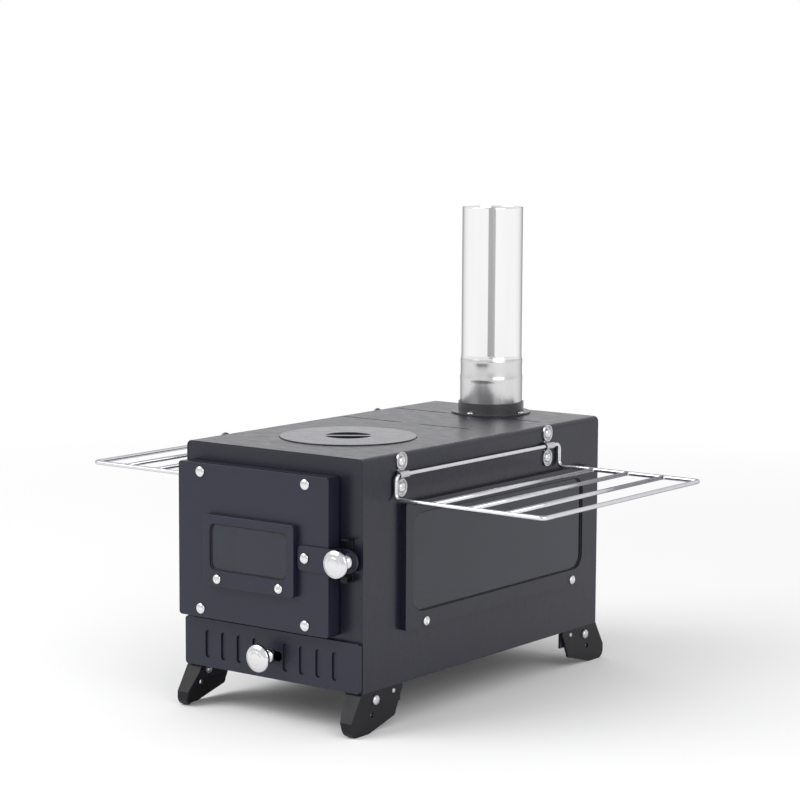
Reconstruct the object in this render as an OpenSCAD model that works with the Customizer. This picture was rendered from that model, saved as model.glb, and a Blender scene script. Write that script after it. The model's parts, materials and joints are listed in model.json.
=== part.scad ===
// Small sheet-steel camp oven with a cooking lid, side windows, an ash drawer,
// a chimney stub and two wire racks that fold up over the top.
// +Z is up, the front faces -Y, and z = 0 is the ground under the soles.

/* [Body] */
// Width of the body, side to side
body_w = 196; // [185:1:230]
// Length of the body, front to back
body_l = 366; // [350:1:420]
// Height of the body above its lower edge
body_h = 200; // [196:1:230]
// Thickness of the body sheet
sheet = 1.5; // [1:0.1:2]
// Outside radius of the long top edges
edge_r = 5; // [3:0.5:8]
// Length of the folded flanges of the end panels
flange_l = 10; // [6:1:16]
// Height of the firebox floor above the lower edge
floor_z = 42; // [40:0.5:46]

/* [Feet] */
// Ground clearance under the body
foot_h = 36; // [28:1:45]
// Thickness of the foot plate
foot_t = 2.5; // [2:0.1:3]
// How far a foot reaches past the end of the body
foot_flare = 15; // [10:1:20]
// Diameter of the foot bolt's shank
foot_bolt_d = 5; // [4:0.5:6]

/* [Front frame] */
// Left edge of the door, from the middle of the body
door_left = -94; // [-96:0.5:-92]
// Right edge of the door, from the middle of the body
door_right = 73.5; // [70:0.5:76]
// Lower edge of the door
door_bottom = 47.5; // [47:0.5:50]
// Upper edge of the door
door_top = 184; // [180:0.5:186]
// Depth of the door pan
door_depth = 14.5; // [13.5:0.5:16]
// Gap between the door pan and the body
door_gap = 1.5; // [1:0.1:2]
// Thickness of the door sheet
door_t = 1.5; // [1:0.1:2]

/* [Door window] */
// Width of the door window's opening
door_win_w = 86; // [70:1:90]
// Height of the door window's opening
door_win_h = 41; // [34:1:44]
// Height of the opening's middle above the body's lower edge
door_win_z = 113; // [110:0.5:116]
// Thickness of the glass panes
glass_t = 3; // [2:0.5:3.5]
// Thickness of the glass tape seals
seal_t = 0.8; // [0.5:0.1:1]
// Thickness of the window frame sheet
frame_t = 1.2; // [0.8:0.1:1.5]

/* [Side windows] */
// Front end of the side opening
side_win_front = -120; // [-130:1:-110]
// Rear end of the side opening
side_win_rear = 148; // [130:1:150]
// Lower edge of the side opening
side_win_bottom = 60; // [58:1:66]
// Upper edge of the side opening
side_win_top = 147; // [140:1:147]
// Corner radius of the side opening
side_win_r = 14; // [8:1:18]

/* [Top] */
// Diameter of the cooking lid
lid_d = 122; // [110:1:130]
// Middle of the cooking lid, front to back
lid_y = -78; // [-82:1:-74]
// Thickness of the cooking lid
lid_t = 2.5; // [2:0.1:3]
// Diameter of the recessed grip in the lid
grip_d = 41; // [34:1:46]
// Width of the bar across the grip
grip_bar = 7; // [5:0.5:10]
// Turn of the grip bar about the lid's middle
grip_turn = 37; // [0:1:180]

/* [Chimney] */
// Middle of the chimney, front to back
flue_y = 145; // [140:0.5:145]
// Outside diameter of the chimney pipe
pipe_d = 59; // [50:0.5:60]
// Wall of the chimney pipe
pipe_wall = 0.5; // [0.4:0.1:1]
// Height of the chimney pipe above the body
pipe_h = 197; // [120:1:240]
// Diameter of the flue flange
flue_flange_d = 76; // [76:0.5:78]
// Height of the flue collar
collar_h = 11; // [8:1:20]

/* [Ash drawer] */
// Height of the drawer front
drawer_front_h = 43; // [42:0.5:44]
// How far the drawer front stands out from the body
drawer_proud = 4; // [3.5:0.5:6]
// Length of the ash tray
tray_l = 330; // [250:5:335]
// Height of the ash tray's walls
tray_h = 32; // [24:1:34]
// Width of one air vent
vent_w = 6; // [4:0.5:7]
// Height of one air vent
vent_h = 25; // [18:1:26]
// Distance between neighbouring vents
vent_pitch = 18; // [17:0.5:19]
// Travel of the air slide
air_travel = 9; // [8:0.5:9]

/* [Knobs] */
// Diameter of a knob's head
knob_d = 23; // [18:1:26]
// Length of a knob from its seat to its front face
knob_l = 20; // [16:1:24]

/* [Racks] */
// Wire diameter of the folding racks
wire_d = 4; // [3:0.5:4]
// Reach of a rack from its hinge
rack_reach = 150; // [100:1:155]
// Front arm of the racks, front to back
rack_front = -141; // [-145:1:-138]
// Rear arm of the racks, front to back
rack_rear = 111; // [100:1:111]
// Height of the rack hinges below the body's top
rack_hinge_low = 18.3; // [17:0.1:19]
// Number of bars between the hinge and the outer bar
rack_bars = 3; // [1:1:4]

/* [Hidden] */
$fn = 48;
eps = 0.01;
fit = 0.04;
gap = 0.3;
half_w = body_w/2;
half_l = body_l/2;
front_y = -half_l;

// Driving places of the door parts
door_x = (door_left + door_right)/2;
door_z = (door_top + door_bottom)/2;
door_front = front_y - door_gap - door_depth;
door_inner = door_front + door_t;
door_corner = 3;
hinge_pin_d = 2.6;
hinge_knuckle_d = 5;
hinge_x = door_left + door_t + hinge_knuckle_d/2 + 0.4;
hinge_y = front_y - 8.3;
hinge_knuckle_l = 16;
hinge_spread = 42;
rivet_x = 58.5;
rivet_z = 60.5;
fire_x0 = door_left + 15;
fire_x1 = door_right - 11.5;
fire_z0 = door_bottom + 11;
fire_z1 = door_top - 11;
rope_w = 5;

// Window frame build-up
win_lip = 7.5;
win_rise = glass_t + 2*seal_t + frame_t;
win_r = 6;
glass_lap = 4;
door_plate_w = door_win_w + 2*win_lip;
door_plate_top = door_win_z + door_win_h/2 + 7.5;
door_plate_bottom = door_win_z - door_win_h/2 - 14;
side_lip_low = 14;
side_lip = 10.5;
win_screw_d = 4;
win_screw_head = 8;

// Latch on the right of the door
latch_x = 49.5;
latch_z = 113.7;
latch_h = 21.5;
latch_t = 2;
latch_tail = 7.8;
latch_corner = 5;
latch_bend_x = door_right + 4.5;
latch_knob_x = 87;
latch_end_r = 10.2;
latch_back = front_y - 5.5;
latch_lift = 10;
latch_drop = 9;
latch_rivet_d = 5;
catch_w = 7;
catch_x = 84.5;

// Top plate
lid_gap = 0.5;
lid_seat = 5;
lid_proud = 1;
seat_t = 2;
grip_depth = 9;
groove_w = 2.4;
groove_d = 0.5;
// Stiffening creases in the top: place front to back, left end, right end
top_grooves = [[30, -90, -22], [30, 0, 56], [112, -90, -22], [112, 34, 78]];

// Flue
flue_hole_d = pipe_d - 5;
socket_fit = 0.4;
collar_wall = 1.5;
collar_id = pipe_d + 2*socket_fit;
collar_od = collar_id + 2*collar_wall;
flange_t = 1.5;
pipe_seat = 1.5;
collar_screw_r = collar_od/2 + 2.6;
collar_screw_d = 3;
collar_head_d = 5;
bead_h = 3;
bead_out = 0.35;

// Ash drawer
drawer_x = half_w - 0.5;
drawer_y = front_y - drawer_proud;
drawer_t = 1.5;
drawer_z0 = 0.5;
tray_x = half_w - 11;
tray_wall = 1;
tray_y = drawer_y + drawer_t;
tray_z = sheet + 0.6;
bay_x = tray_x + 1.5;
bay_top = floor_z - 2;
vent_z = 21.2;
vents = [for (side = [-1, 1], i = [0:3]) side*(vent_pitch*(i + 1) - 1)];
slide_t = 1;
slide_h = vent_h + 5;
slide_slot_w = vent_w + 1.5;
slide_x0 = -tray_x + tray_wall + gap;
slide_x1 = tray_x - tray_wall - air_travel - 1;
stem_d = 8;

// Racks
wire_r = wire_d/2;
rack_hinge_z = body_h - rack_hinge_low;
rack_x = half_w + 0.5 + wire_r;
rack_drop = body_h + wire_r + 0.4 - rack_hinge_z;
rack_pitch = rack_reach/(rack_bars + 1);
clip_y = [rack_front + 10, rack_rear - 17];
clip_l = 13;
clip_h = 38;
clip_t = 1.5;
clip_rivet_z = 11.2;
clip_rivet_d = 3.2;
clip_tail_d = 4.2;

// Feet
foot_inset = 0.5;
foot_x = half_w - foot_inset;
foot_w = 16.5;
foot_toe_w = 10;
foot_reach = 57;
foot_sole_l = 16;
foot_bolt_y = 18.3;
foot_bolt_z = -8;
foot_pin_y = 43.5;
foot_pin_z = -4.6;
foot_pin_d = 4;
bracket_t = 2;

// The whole object is centred front to back on its own outline
reach_front = -min(latch_back - latch_t - knob_l, drawer_y - gap - knob_l);
reach_rear = half_l + foot_flare;
shift_y = (reach_front - reach_rear)/2;

// Moves a sub-part from the body's lower edge to its place above the ground
module placed() {
    translate([0, shift_y, foot_h]) children();
}

// A flat outline standing in the XZ plane, from y0 towards +Y by t
module standing(y0, t) {
    translate([0, y0 + t, 0]) rotate([90, 0, 0]) linear_extrude(t) children();
}

// A flat outline standing in the YZ plane, from x0 towards +X by t
module sideways(x0, t) {
    translate([x0, 0, 0]) rotate([90, 0, 90]) linear_extrude(t) children();
}

// Rectangle from corner to corner with round corners
module rounded(x0, z0, x1, z1, r) {
    union() {
        translate([x0 + r, z0]) square([x1 - x0 - 2*r, z1 - z0]);
        translate([x0, z0 + r]) square([x1 - x0, z1 - z0 - 2*r]);
        for (x = [x0 + r, x1 - r], z = [z0 + r, z1 - r]) translate([x, z]) circle(r);
    }
}

// Slot with round ends, standing on its middle
module upright_slot(x, z, w, h) {
    translate([x, z]) union() {
        square([w, h - w], center = true);
        for (s = [-1, 1]) translate([0, s*(h - w)/2]) circle(d = w);
    }
}

// Cylinder along Y from y0 to y1
module along_y(x, z, d, y0, y1) {
    translate([x, y1, z]) rotate([90, 0, 0]) cylinder(d = d, h = y1 - y0);
}

// Cylinder along X from x0 to x1
module along_x(y, z, d, x0, x1) {
    translate([x0, y, z]) rotate([0, 90, 0]) cylinder(d = d, h = x1 - x0);
}

// Cap of a sphere with a flat base at z = 0
module dome(d, h) {
    r = (d*d/4 + h*h)/(2*h);
    rotate_extrude() intersection() {
        translate([0, h - r]) circle(r);
        square([d, h]);
    }
}

// Domed head that faces -Y, its seat at y
module head_front(x, y, z, d, h) {
    translate([x, y, z]) rotate([90, 0, 0]) dome(d, h);
}

// Domed head that faces the given side, its seat at x
module head_side(side, x, y, z, d, h) {
    translate([side*x, y, z]) rotate([0, side*90, 0]) dome(d, h);
}

// Cross recess of a screw, cut from the head's front
module cross_recess(size) {
    for (turn = [45, 135]) rotate([0, 0, turn]) cube([size, size*0.28, 2], center = true);
}

// Cross section of the folded body: flat top, two sides, round long edges
module body_outline(w, h, r) {
    union() {
        translate([-w/2, 0]) square([w, h - r]);
        translate([-w/2 + r, 0]) square([w - 2*r, h]);
        for (s = [-1, 1]) translate([s*(w/2 - r), h - r]) circle(r);
    }
}

module lid_groove(y, x0, x1) {
    translate([0, 0, body_h - groove_d]) linear_extrude(groove_d + 1) hull() {
        for (x = [x0, x1]) translate([x, y]) circle(d = groove_w);
    }
}

// Top and both sides of the firebox, folded from one sheet
module body_shell() {
    inset = 2;
    color([0.25, 0.25, 0.29]) difference() {
        translate([0, half_l, 0]) rotate([90, 0, 0]) linear_extrude(body_l) difference() {
            body_outline(body_w, body_h, edge_r);
            translate([0, -eps]) body_outline(body_w - 2*sheet, body_h - sheet + eps, edge_r - sheet);
        }
        sideways(-half_w - 1, body_w + 2) rounded(side_win_front + inset, side_win_bottom + inset,
            side_win_rear - inset, side_win_top - inset, side_win_r - inset);
        translate([0, lid_y, body_h - 5]) cylinder(d = lid_d + 2*lid_gap, h = 10);
        translate([0, flue_y, body_h - 5]) cylinder(d = flue_hole_d, h = 10);
        for (g = top_grooves) lid_groove(g[0], g[1], g[2]);
        for (a = [0:90:270]) translate([0, flue_y, body_h - 5]) rotate([0, 0, a])
            translate([collar_screw_r, 0, 0]) cylinder(d = collar_screw_d - 2*fit, h = 10);
        for (s = [-1, 1]) {
            for (y = side_screws)
                along_x(y, side_screw_z, win_screw_d - 2*fit, s*half_w - 5, s*half_w + 5);
            for (y = clip_y, z = [-clip_rivet_z, clip_rivet_z])
                along_x(y, rack_hinge_z + z, clip_rivet_d + 2*fit, s*half_w - 5, s*half_w + 5);
        }
    }
}

// Front panel with folded flanges, the fire opening and the drawer opening
module front_frame() {
    w = body_w - 2*sheet - 2*fit;
    h = body_h - sheet - fit;
    color([0.2, 0.2, 0.23]) difference() {
        translate([0, front_y + flange_l, 0]) rotate([90, 0, 0]) linear_extrude(flange_l)
            body_outline(w, h, edge_r - sheet);
        translate([0, front_y + flange_l + eps, sheet]) rotate([90, 0, 0])
            linear_extrude(flange_l - sheet + eps) body_outline(w - 2*sheet, h - 2*sheet, 2);
        standing(front_y - 1, 5) rounded(fire_x0, fire_z0, fire_x1, fire_z1, 6);
        standing(front_y - 1, 5) translate([-bay_x, sheet]) square([2*bay_x, bay_top - sheet]);
        translate([-bay_x, front_y - 1, -1]) cube([2*bay_x, flange_l + 2, bay_top + 1]);
    }
}

// Rear panel with folded flanges
module back_panel() {
    w = body_w - 2*sheet - 2*fit;
    h = body_h - sheet - fit;
    color([0.22, 0.22, 0.25]) difference() {
        translate([0, half_l, 0]) rotate([90, 0, 0]) linear_extrude(flange_l)
            body_outline(w, h, edge_r - sheet);
        translate([0, half_l - sheet, sheet]) rotate([90, 0, 0])
            linear_extrude(flange_l) body_outline(w - 2*sheet, h - 2*sheet, 2);
        translate([0, flue_y + collar_screw_r, h - 5]) cylinder(d = collar_screw_d + 2*fit, h = 10);
    }
}

grate_x = 62;
grate_y0 = -140;
grate_y1 = 60;

// Firebox floor with down-turned sides and the opening that the grate covers
module floor_plate() {
    w = half_w - sheet - 0.1;
    y0 = front_y + sheet + 0.1;
    color([0.3, 0.3, 0.32]) difference() {
        union() {
            translate([-w, y0, floor_z - sheet]) cube([2*w, body_l - 2*sheet - 0.2, sheet]);
            for (s = [-1, 1]) translate([s*(w - sheet/2) - sheet/2, y0 + flange_l, floor_z - 10])
                cube([sheet, body_l - 2*flange_l - 4, 10]);
        }
        translate([-grate_x + 6, grate_y0 + 6, floor_z - 5])
            cube([2*grate_x - 12, grate_y1 - grate_y0 - 12, 10]);
        // Notches for the flanges of the two end panels
        for (s = [-1, 1], y = [y0 - 1, half_l - flange_l])
            translate([s*(w - 1) - 2, y, floor_z - 5]) cube([4, flange_l, 10]);
    }
}

// Bottom of the drawer bay, with low side flanges
module base_plate() {
    w = half_w - sheet - 0.1;
    y0 = front_y + flange_l;
    color([0.22, 0.22, 0.25]) difference() {
        translate([-w, y0, 0]) cube([2*w, body_l - 2*flange_l - 0.1, 8]);
        translate([-w + sheet, y0 - 1, sheet]) cube([2*w - 2*sheet, body_l, 10]);
        for (s = [-1, 1], e = [-1, 1]) for (y = [foot_bolt_y + 8, foot_bolt_y + 26])
            translate([s*(foot_x - foot_w), e*(half_l - y), -1]) cylinder(d = foot_bolt_d, h = 4);
    }
}

// Slotted plate that the fire lies on
module fire_grate() {
    slot = 7;
    pitch = 16;
    rows = 3;
    bar = (2*grate_x - 16)/rows;
    color([0.3, 0.29, 0.28]) difference() {
        translate([-grate_x, grate_y0, floor_z]) cube([2*grate_x, grate_y1 - grate_y0, 3]);
        for (row = [0:rows - 1], y = [grate_y0 + 12:pitch:grate_y1 - 12])
            translate([-grate_x + 8 + row*bar + 4, y, floor_z - 1]) union() {
                translate([slot/2, 0, 0]) cube([bar - 8 - slot, slot, 6]);
                for (x = [slot/2, bar - 8 - slot/2]) translate([x, slot/2, 0]) cylinder(d = slot, h = 6);
            }
    }
}

// Ring under the top plate that the lid rests on
module lid_seat_ring() {
    color([0.2, 0.2, 0.22]) translate([0, lid_y, body_h - sheet - seat_t]) difference() {
        cylinder(d = lid_d + 16, h = seat_t - fit, $fn = 96);
        translate([0, 0, -1]) cylinder(d = lid_d - 2*lid_seat, h = seat_t + 2, $fn = 96);
    }
}

lid_top = body_h + lid_proud;

// Cooking lid with a round grip, split by a bar
module cooking_lid() {
    color([0.24, 0.24, 0.27]) translate([0, lid_y, lid_top - lid_t]) rotate([0, 0, grip_turn]) difference() {
        cylinder(d = lid_d, h = lid_t, $fn = 96);
        difference() {
            translate([0, 0, -1]) cylinder(d = grip_d, h = lid_t + 2);
            translate([-grip_d, -grip_bar/2, -2]) cube([2*grip_d, grip_bar, lid_t + 4]);
        }
    }
}

// Dish under the grip that keeps the smoke in
module lid_grip_cup() {
    d = grip_d + 8;
    color([0.15, 0.15, 0.17]) translate([0, lid_y, lid_top - lid_t]) rotate([180, 0, 0])
        rotate_extrude() difference() {
            union() {
                square([d/2, 1]);
                square([grip_d/2 + 2.2, grip_depth]);
            }
            translate([-1, -1]) square([grip_d/2 + 2, grip_depth]);
        }
}

// Flange and short collar that hold the chimney
module flue_collar() {
    color([0.13, 0.13, 0.14]) translate([0, flue_y, body_h]) difference() {
        union() {
            cylinder(d = flue_flange_d, h = flange_t, $fn = 96);
            cylinder(d = collar_od, h = collar_h, $fn = 96);
        }
        translate([0, 0, pipe_seat]) cylinder(d = collar_id, h = collar_h, $fn = 96);
        translate([0, 0, -1]) cylinder(d = flue_hole_d, h = collar_h, $fn = 96);
        for (a = [0:90:270]) rotate([0, 0, a]) translate([collar_screw_r, 0, -1])
            cylinder(d = collar_screw_d + 2*fit, h = 5);
    }
}

// Four dome-head screws of the flange
module collar_screws() {
    color([0.8, 0.8, 0.82]) for (a = [0:90:270]) translate([0, flue_y, body_h]) rotate([0, 0, a])
        translate([collar_screw_r, 0, 0]) union() {
            translate([0, 0, -4]) cylinder(d = collar_screw_d - 2*fit, h = 4 + flange_t + 0.5);
            translate([0, 0, flange_t]) dome(collar_head_d, 1.8);
        }
}

// Chimney pipe with a swaged foot and two beads
module chimney_pipe() {
    z0 = body_h + pipe_seat + fit;
    bead_z = [collar_h + 12, collar_h + 30];
    color([0.75, 0.75, 0.77]) translate([0, flue_y, 0]) difference() {
        union() {
            translate([0, 0, z0]) cylinder(d = pipe_d, h = pipe_h - pipe_seat - fit, $fn = 96);
            for (z = bead_z) translate([0, 0, body_h + z])
                cylinder(d = pipe_d + 2*bead_out, h = bead_h, $fn = 96);
        }
        translate([0, 0, z0 - 1]) cylinder(d = pipe_d - 2*pipe_wall, h = pipe_h + 2, $fn = 96);
    }
}

// Floor of the tray behind the drawer front
module ash_tray() {
    color([0.4, 0.4, 0.42]) translate([-tray_x, tray_y, tray_z]) cube([2*tray_x, tray_l, tray_wall]);
}

// Upright sides of the tray
module ash_tray_sides() {
    color([0.4, 0.4, 0.42]) for (x = [-tray_x, tray_x - tray_wall])
        translate([x, tray_y, tray_z + tray_wall]) cube([tray_wall, tray_l, tray_h - tray_wall]);
}

// Rear wall of the tray, between the sides
module ash_tray_end() {
    color([0.4, 0.4, 0.42]) translate([-tray_x + tray_wall, tray_y + tray_l - tray_wall, tray_z + tray_wall])
        cube([2*(tray_x - tray_wall), tray_wall, tray_h - tray_wall]);
}

// Folded drawer front with eight air vents and the knob's slot
module drawer_front() {
    rim = 3;
    color([0.24, 0.24, 0.28]) difference() {
        standing(drawer_y, drawer_proud - 0.1) rounded(-drawer_x, drawer_z0, drawer_x,
            drawer_z0 + drawer_front_h, rim);
        standing(drawer_y + drawer_t, drawer_proud) rounded(-drawer_x + drawer_t, drawer_z0 + drawer_t,
            drawer_x - drawer_t, drawer_z0 + drawer_front_h - drawer_t, rim - drawer_t);
        standing(drawer_y - 1, drawer_t + 2) for (x = vents) upright_slot(x, vent_z, vent_w, vent_h);
        standing(drawer_y - 1, drawer_t + 2) union() {
            translate([0, vent_z - stem_d/2 - gap]) square([air_travel, stem_d + 2*gap]);
            for (x = [0, air_travel]) translate([x, vent_z]) circle(d = stem_d + 2*gap);
        }
    }
}

slide_y = drawer_y + drawer_t + 0.1;

// Slotted plate that slides behind the vents
module air_slide() {
    color([0.33, 0.33, 0.36]) difference() {
        standing(slide_y, slide_t) rounded(slide_x0, vent_z - slide_h/2, slide_x1, vent_z + slide_h/2, 2);
        standing(slide_y - 1, slide_t + 2) for (x = vents)
            upright_slot(x - air_travel, vent_z, slide_slot_w, vent_h);
        along_y(0, vent_z, 5 - 2*fit, slide_y - 1, slide_y + 3);
    }
}

// Two folded strips that guide the air slide
module air_slide_guides() {
    lip = 2;
    y = drawer_y + drawer_t;
    l = slide_x1 + air_travel - slide_x0;
    color([0.3, 0.3, 0.32]) for (s = [-1, 1]) translate([slide_x0, y, vent_z + s*(slide_h/2 + 1.1)]) union() {
        translate([0, 0, -0.9]) cube([l, 2.1, 1.8]);
        translate([0, 1.3, s > 0 ? -0.9 - lip : -0.9]) cube([l, 0.8, 1.8 + lip]);
    }
}

// Turned knob that faces -Y, its seat at the given place
module knob(x, y, z) {
    head = 7;
    soft = 2;
    translate([x, y, z]) rotate([90, 0, 0]) rotate_extrude() union() {
        square([6.5, 2]);
        square([4, knob_l - 2]);
        translate([0, knob_l - head]) square([knob_d/2 - soft, head]);
        translate([0, knob_l - head + soft]) square([knob_d/2, head - 2*soft]);
        for (h = [knob_l - head + soft, knob_l - soft]) translate([knob_d/2 - soft, h]) circle(soft);
        polygon([[0, 2], [5.5, 2], [4, 6], [4, knob_l - head - 3], [6.5, knob_l - head + 0.5], [0, knob_l - 1]]);
    }
}

// Knob of the drawer, which also moves the air slide
module drawer_knob() {
    color([0.85, 0.85, 0.87]) union() {
        knob(0, drawer_y - gap, vent_z);
        along_y(0, vent_z, stem_d - 0.4, drawer_y - 1, slide_y - fit);
        along_y(0, vent_z, 5 - 2*fit, slide_y - 1, slide_y + slide_t + 1.2);
        along_y(0, vent_z, 8, slide_y + slide_t, slide_y + slide_t + 1.2);
    }
}

// Front skin and rim of the door
module door_pan() {
    color([0.25, 0.26, 0.31]) difference() {
        standing(door_front, door_depth) rounded(door_left, door_bottom, door_right, door_top, door_corner);
        standing(door_inner, door_depth) rounded(door_left + door_t, door_bottom + door_t,
            door_right - door_t, door_top - door_t, door_corner - door_t);
        standing(door_front - 1, door_t + 2) rounded(door_x - door_win_w/2 + 1, door_win_z - door_win_h/2 + 1,
            door_x + door_win_w/2 - 1, door_win_z + door_win_h/2 - 1, win_r - 1);
        for (x = [-rivet_x, rivet_x], z = [-rivet_z, rivet_z])
            along_y(door_x + x, door_z + z, 4 + 2*fit, door_front - 1, door_inner + 1);
        for (s = [-1, 1]) along_y(door_x + s*door_screw_x, door_screw_z, win_screw_d - 2*fit,
            door_front - 1, door_inner + 1);
        along_y(latch_x, latch_z, latch_rivet_d + 2*fit, door_front - 1, door_inner + 1);
        // Notches that let the body's hinge leaves through as the door swings
        for (s = [-1, 1]) translate([door_left - 1, hinge_y - gap, door_z + s*hinge_spread - hinge_knuckle_l/2 - 2*gap])
            cube([door_t + 2, door_depth, hinge_knuckle_l + 4*gap]);
    }
}

door_screw_x = 34.5;
door_screw_z = door_plate_bottom + 6.5;
liner_y = front_y - door_gap - 3.5;
liner_t = 1.2;

// Inner heat shield of the door
module door_liner() {
    x0 = hinge_x + 4.2;
    color([0.32, 0.32, 0.34]) difference() {
        union() {
            standing(liner_y, liner_t) rounded(x0, door_bottom + 3, door_right - 3, door_top - 3, 4);
            for (x = [-rivet_x, rivet_x], z = [-rivet_z, rivet_z])
                along_y(door_x + x, door_z + z, 8, door_inner, liner_y + eps);
        }
        standing(liner_y - 1, liner_t + 2) rounded(door_x - door_win_w/2 - 4, door_win_z - door_win_h/2 - 4,
            door_x + door_win_w/2 + 4, door_win_z + door_win_h/2 + 4, win_r + 4);
        for (x = [-rivet_x, rivet_x], z = [-rivet_z, rivet_z])
            along_y(door_x + x, door_z + z, 4 + 2*fit, door_front, liner_y);
    }
}

// Four blind rivets that join the door's skin to the posts of its liner
module door_rivets() {
    color([0.85, 0.85, 0.87]) for (x = [-rivet_x, rivet_x], z = [-rivet_z, rivet_z]) union() {
        along_y(door_x + x, door_z + z, 4, door_front - 0.5, liner_y - 1);
        head_front(door_x + x, door_front, door_z + z, 8.5, 2.4);
    }
}

// Woven seal round the liner's edge
module door_rope() {
    x0 = hinge_x + 4.2;
    y0 = liner_y + liner_t;
    color([0.75, 0.74, 0.7]) difference() {
        standing(y0, front_y - gap - y0) rounded(x0, door_bottom + 3, door_right - 3, door_top - 3, 4);
        standing(y0 - 1, 10) rounded(x0 + rope_w, door_bottom + 3 + rope_w, door_right - 3 - rope_w,
            door_top - 3 - rope_w, 2);
    }
}

// Pane, seal and folded frame of a window, on a wall at depth 0 that faces +depth
module window_seal(x0, z0, x1, z1, r) {
    linear_extrude(seal_t) difference() {
        rounded(x0 - glass_lap, z0 - glass_lap, x1 + glass_lap, z1 + glass_lap, r);
        rounded(x0 + 1, z0 + 1, x1 - 1, z1 - 1, r);
    }
    translate([0, 0, seal_t + glass_t]) linear_extrude(seal_t) difference() {
        rounded(x0 - glass_lap, z0 - glass_lap, x1 + glass_lap, z1 + glass_lap, r);
        rounded(x0 + 1, z0 + 1, x1 - 1, z1 - 1, r);
    }
}

module window_pane(x0, z0, x1, z1, r) {
    translate([0, 0, seal_t]) linear_extrude(glass_t)
        rounded(x0 - glass_lap, z0 - glass_lap, x1 + glass_lap, z1 + glass_lap, r);
}

module window_frame(x0, z0, x1, z1, r, left, low, right, high, screws, screw_z) {
    difference() {
        linear_extrude(win_rise) rounded(left, low, right, high, 3);
        translate([0, 0, -eps]) linear_extrude(win_rise - frame_t + eps)
            rounded(left + frame_t, low + frame_t, right - frame_t, high - frame_t, 2);
        translate([0, 0, -1]) linear_extrude(win_rise + 2) rounded(x0, z0, x1, z1, r);
        for (x = screws) translate([x, screw_z, -1]) cylinder(d = win_screw_d + 2*fit, h = win_rise + 2);
    }
    for (x = screws) translate([x, screw_z, 0]) difference() {
        cylinder(d = 7, h = win_rise - frame_t);
        translate([0, 0, -1]) cylinder(d = win_screw_d + 2*fit, h = win_rise + 2);
    }
}

module window_screws(screws, screw_z) {
    for (x = screws) translate([x, screw_z, 0]) difference() {
        union() {
            translate([0, 0, -4]) cylinder(d = win_screw_d - 2*fit, h = win_rise + 4.4);
            translate([0, 0, win_rise]) dome(win_screw_head, 2.6);
        }
        translate([0, 0, win_rise + 2.6]) cross_recess(4.4);
    }
}

// Stands a window part on the door's front, facing -Y
module on_door() {
    translate([0, door_front, 0]) rotate([90, 0, 0]) children();
}

// Stands a window part on a side of the body, facing outwards
module on_side(side) {
    if (side > 0) translate([half_w, 0, 0]) rotate([90, 0, 90]) children();
    else mirror([1, 0, 0]) translate([half_w, 0, 0]) rotate([90, 0, 90]) children();
}

door_win = [door_x - door_win_w/2, door_win_z - door_win_h/2, door_x + door_win_w/2, door_win_z + door_win_h/2];
side_screws = [side_win_front + 19, side_win_rear - 17];
side_screw_z = side_win_bottom - 9.5;

module door_glass() {
    color([0.3, 0.34, 0.38, 0.6]) on_door() window_pane(door_win[0], door_win[1], door_win[2], door_win[3], win_r);
}

module door_glass_seal() {
    color([0.8, 0.8, 0.76]) on_door() window_seal(door_win[0], door_win[1], door_win[2], door_win[3], win_r);
}

module door_window_frame() {
    color([0.23, 0.24, 0.28]) on_door() window_frame(door_win[0], door_win[1], door_win[2], door_win[3], win_r,
        door_x - door_plate_w/2, door_plate_bottom, door_x + door_plate_w/2, door_plate_top,
        [door_x - door_screw_x, door_x + door_screw_x], door_screw_z);
}

module door_window_screws() {
    color([0.85, 0.85, 0.87]) on_door() window_screws([door_x - door_screw_x, door_x + door_screw_x], door_screw_z);
}

module side_glass(side) {
    color([0.3, 0.34, 0.38, 0.6]) on_side(side)
        window_pane(side_win_front, side_win_bottom, side_win_rear, side_win_top, side_win_r);
}

module side_seal(side) {
    color([0.8, 0.8, 0.76]) on_side(side)
        window_seal(side_win_front, side_win_bottom, side_win_rear, side_win_top, side_win_r);
}

module side_window_frame(side) {
    color([0.24, 0.24, 0.27]) on_side(side)
        window_frame(side_win_front, side_win_bottom, side_win_rear, side_win_top, side_win_r,
            side_win_front - side_lip, side_win_bottom - side_lip_low, side_win_rear + side_lip,
            side_win_top + side_lip - 0.5, side_screws, side_screw_z);
}

module side_window_screws(side) {
    color([0.85, 0.85, 0.87]) on_side(side) window_screws(side_screws, side_screw_z);
}

module hinge_barrel(z0, l) {
    translate([hinge_x, hinge_y, z0]) difference() {
        cylinder(d = hinge_knuckle_d, h = l);
        translate([0, 0, -1]) cylinder(d = hinge_pin_d + 2*fit, h = l + 2);
    }
}

// Hinge leaves inside the door, above and below each body knuckle
module door_knuckles() {
    l = hinge_knuckle_l/2;
    color([0.3, 0.3, 0.32]) for (s = [-1, 1], e = [-1, 1]) {
        z0 = door_z + s*hinge_spread + e*(hinge_knuckle_l/2 + l/2 + gap) - l/2;
        hinge_barrel(z0, l);
        translate([0, 0, z0]) difference() {
            translate([door_left + door_t, door_inner, 0]) cube([1.2, hinge_y - door_inner, l]);
            translate([hinge_x, hinge_y, -1]) cylinder(d = hinge_pin_d + 2*fit, h = l + 2);
        }
    }
}

// Hinge leaves on the front frame
module body_knuckles() {
    color([0.3, 0.3, 0.32]) for (s = [-1, 1]) {
        z0 = door_z + s*hinge_spread - hinge_knuckle_l/2;
        hinge_barrel(z0, hinge_knuckle_l);
        translate([hinge_x + 1.7, hinge_y, z0]) cube([1.1, front_y - hinge_y, hinge_knuckle_l]);
    }
}

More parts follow.
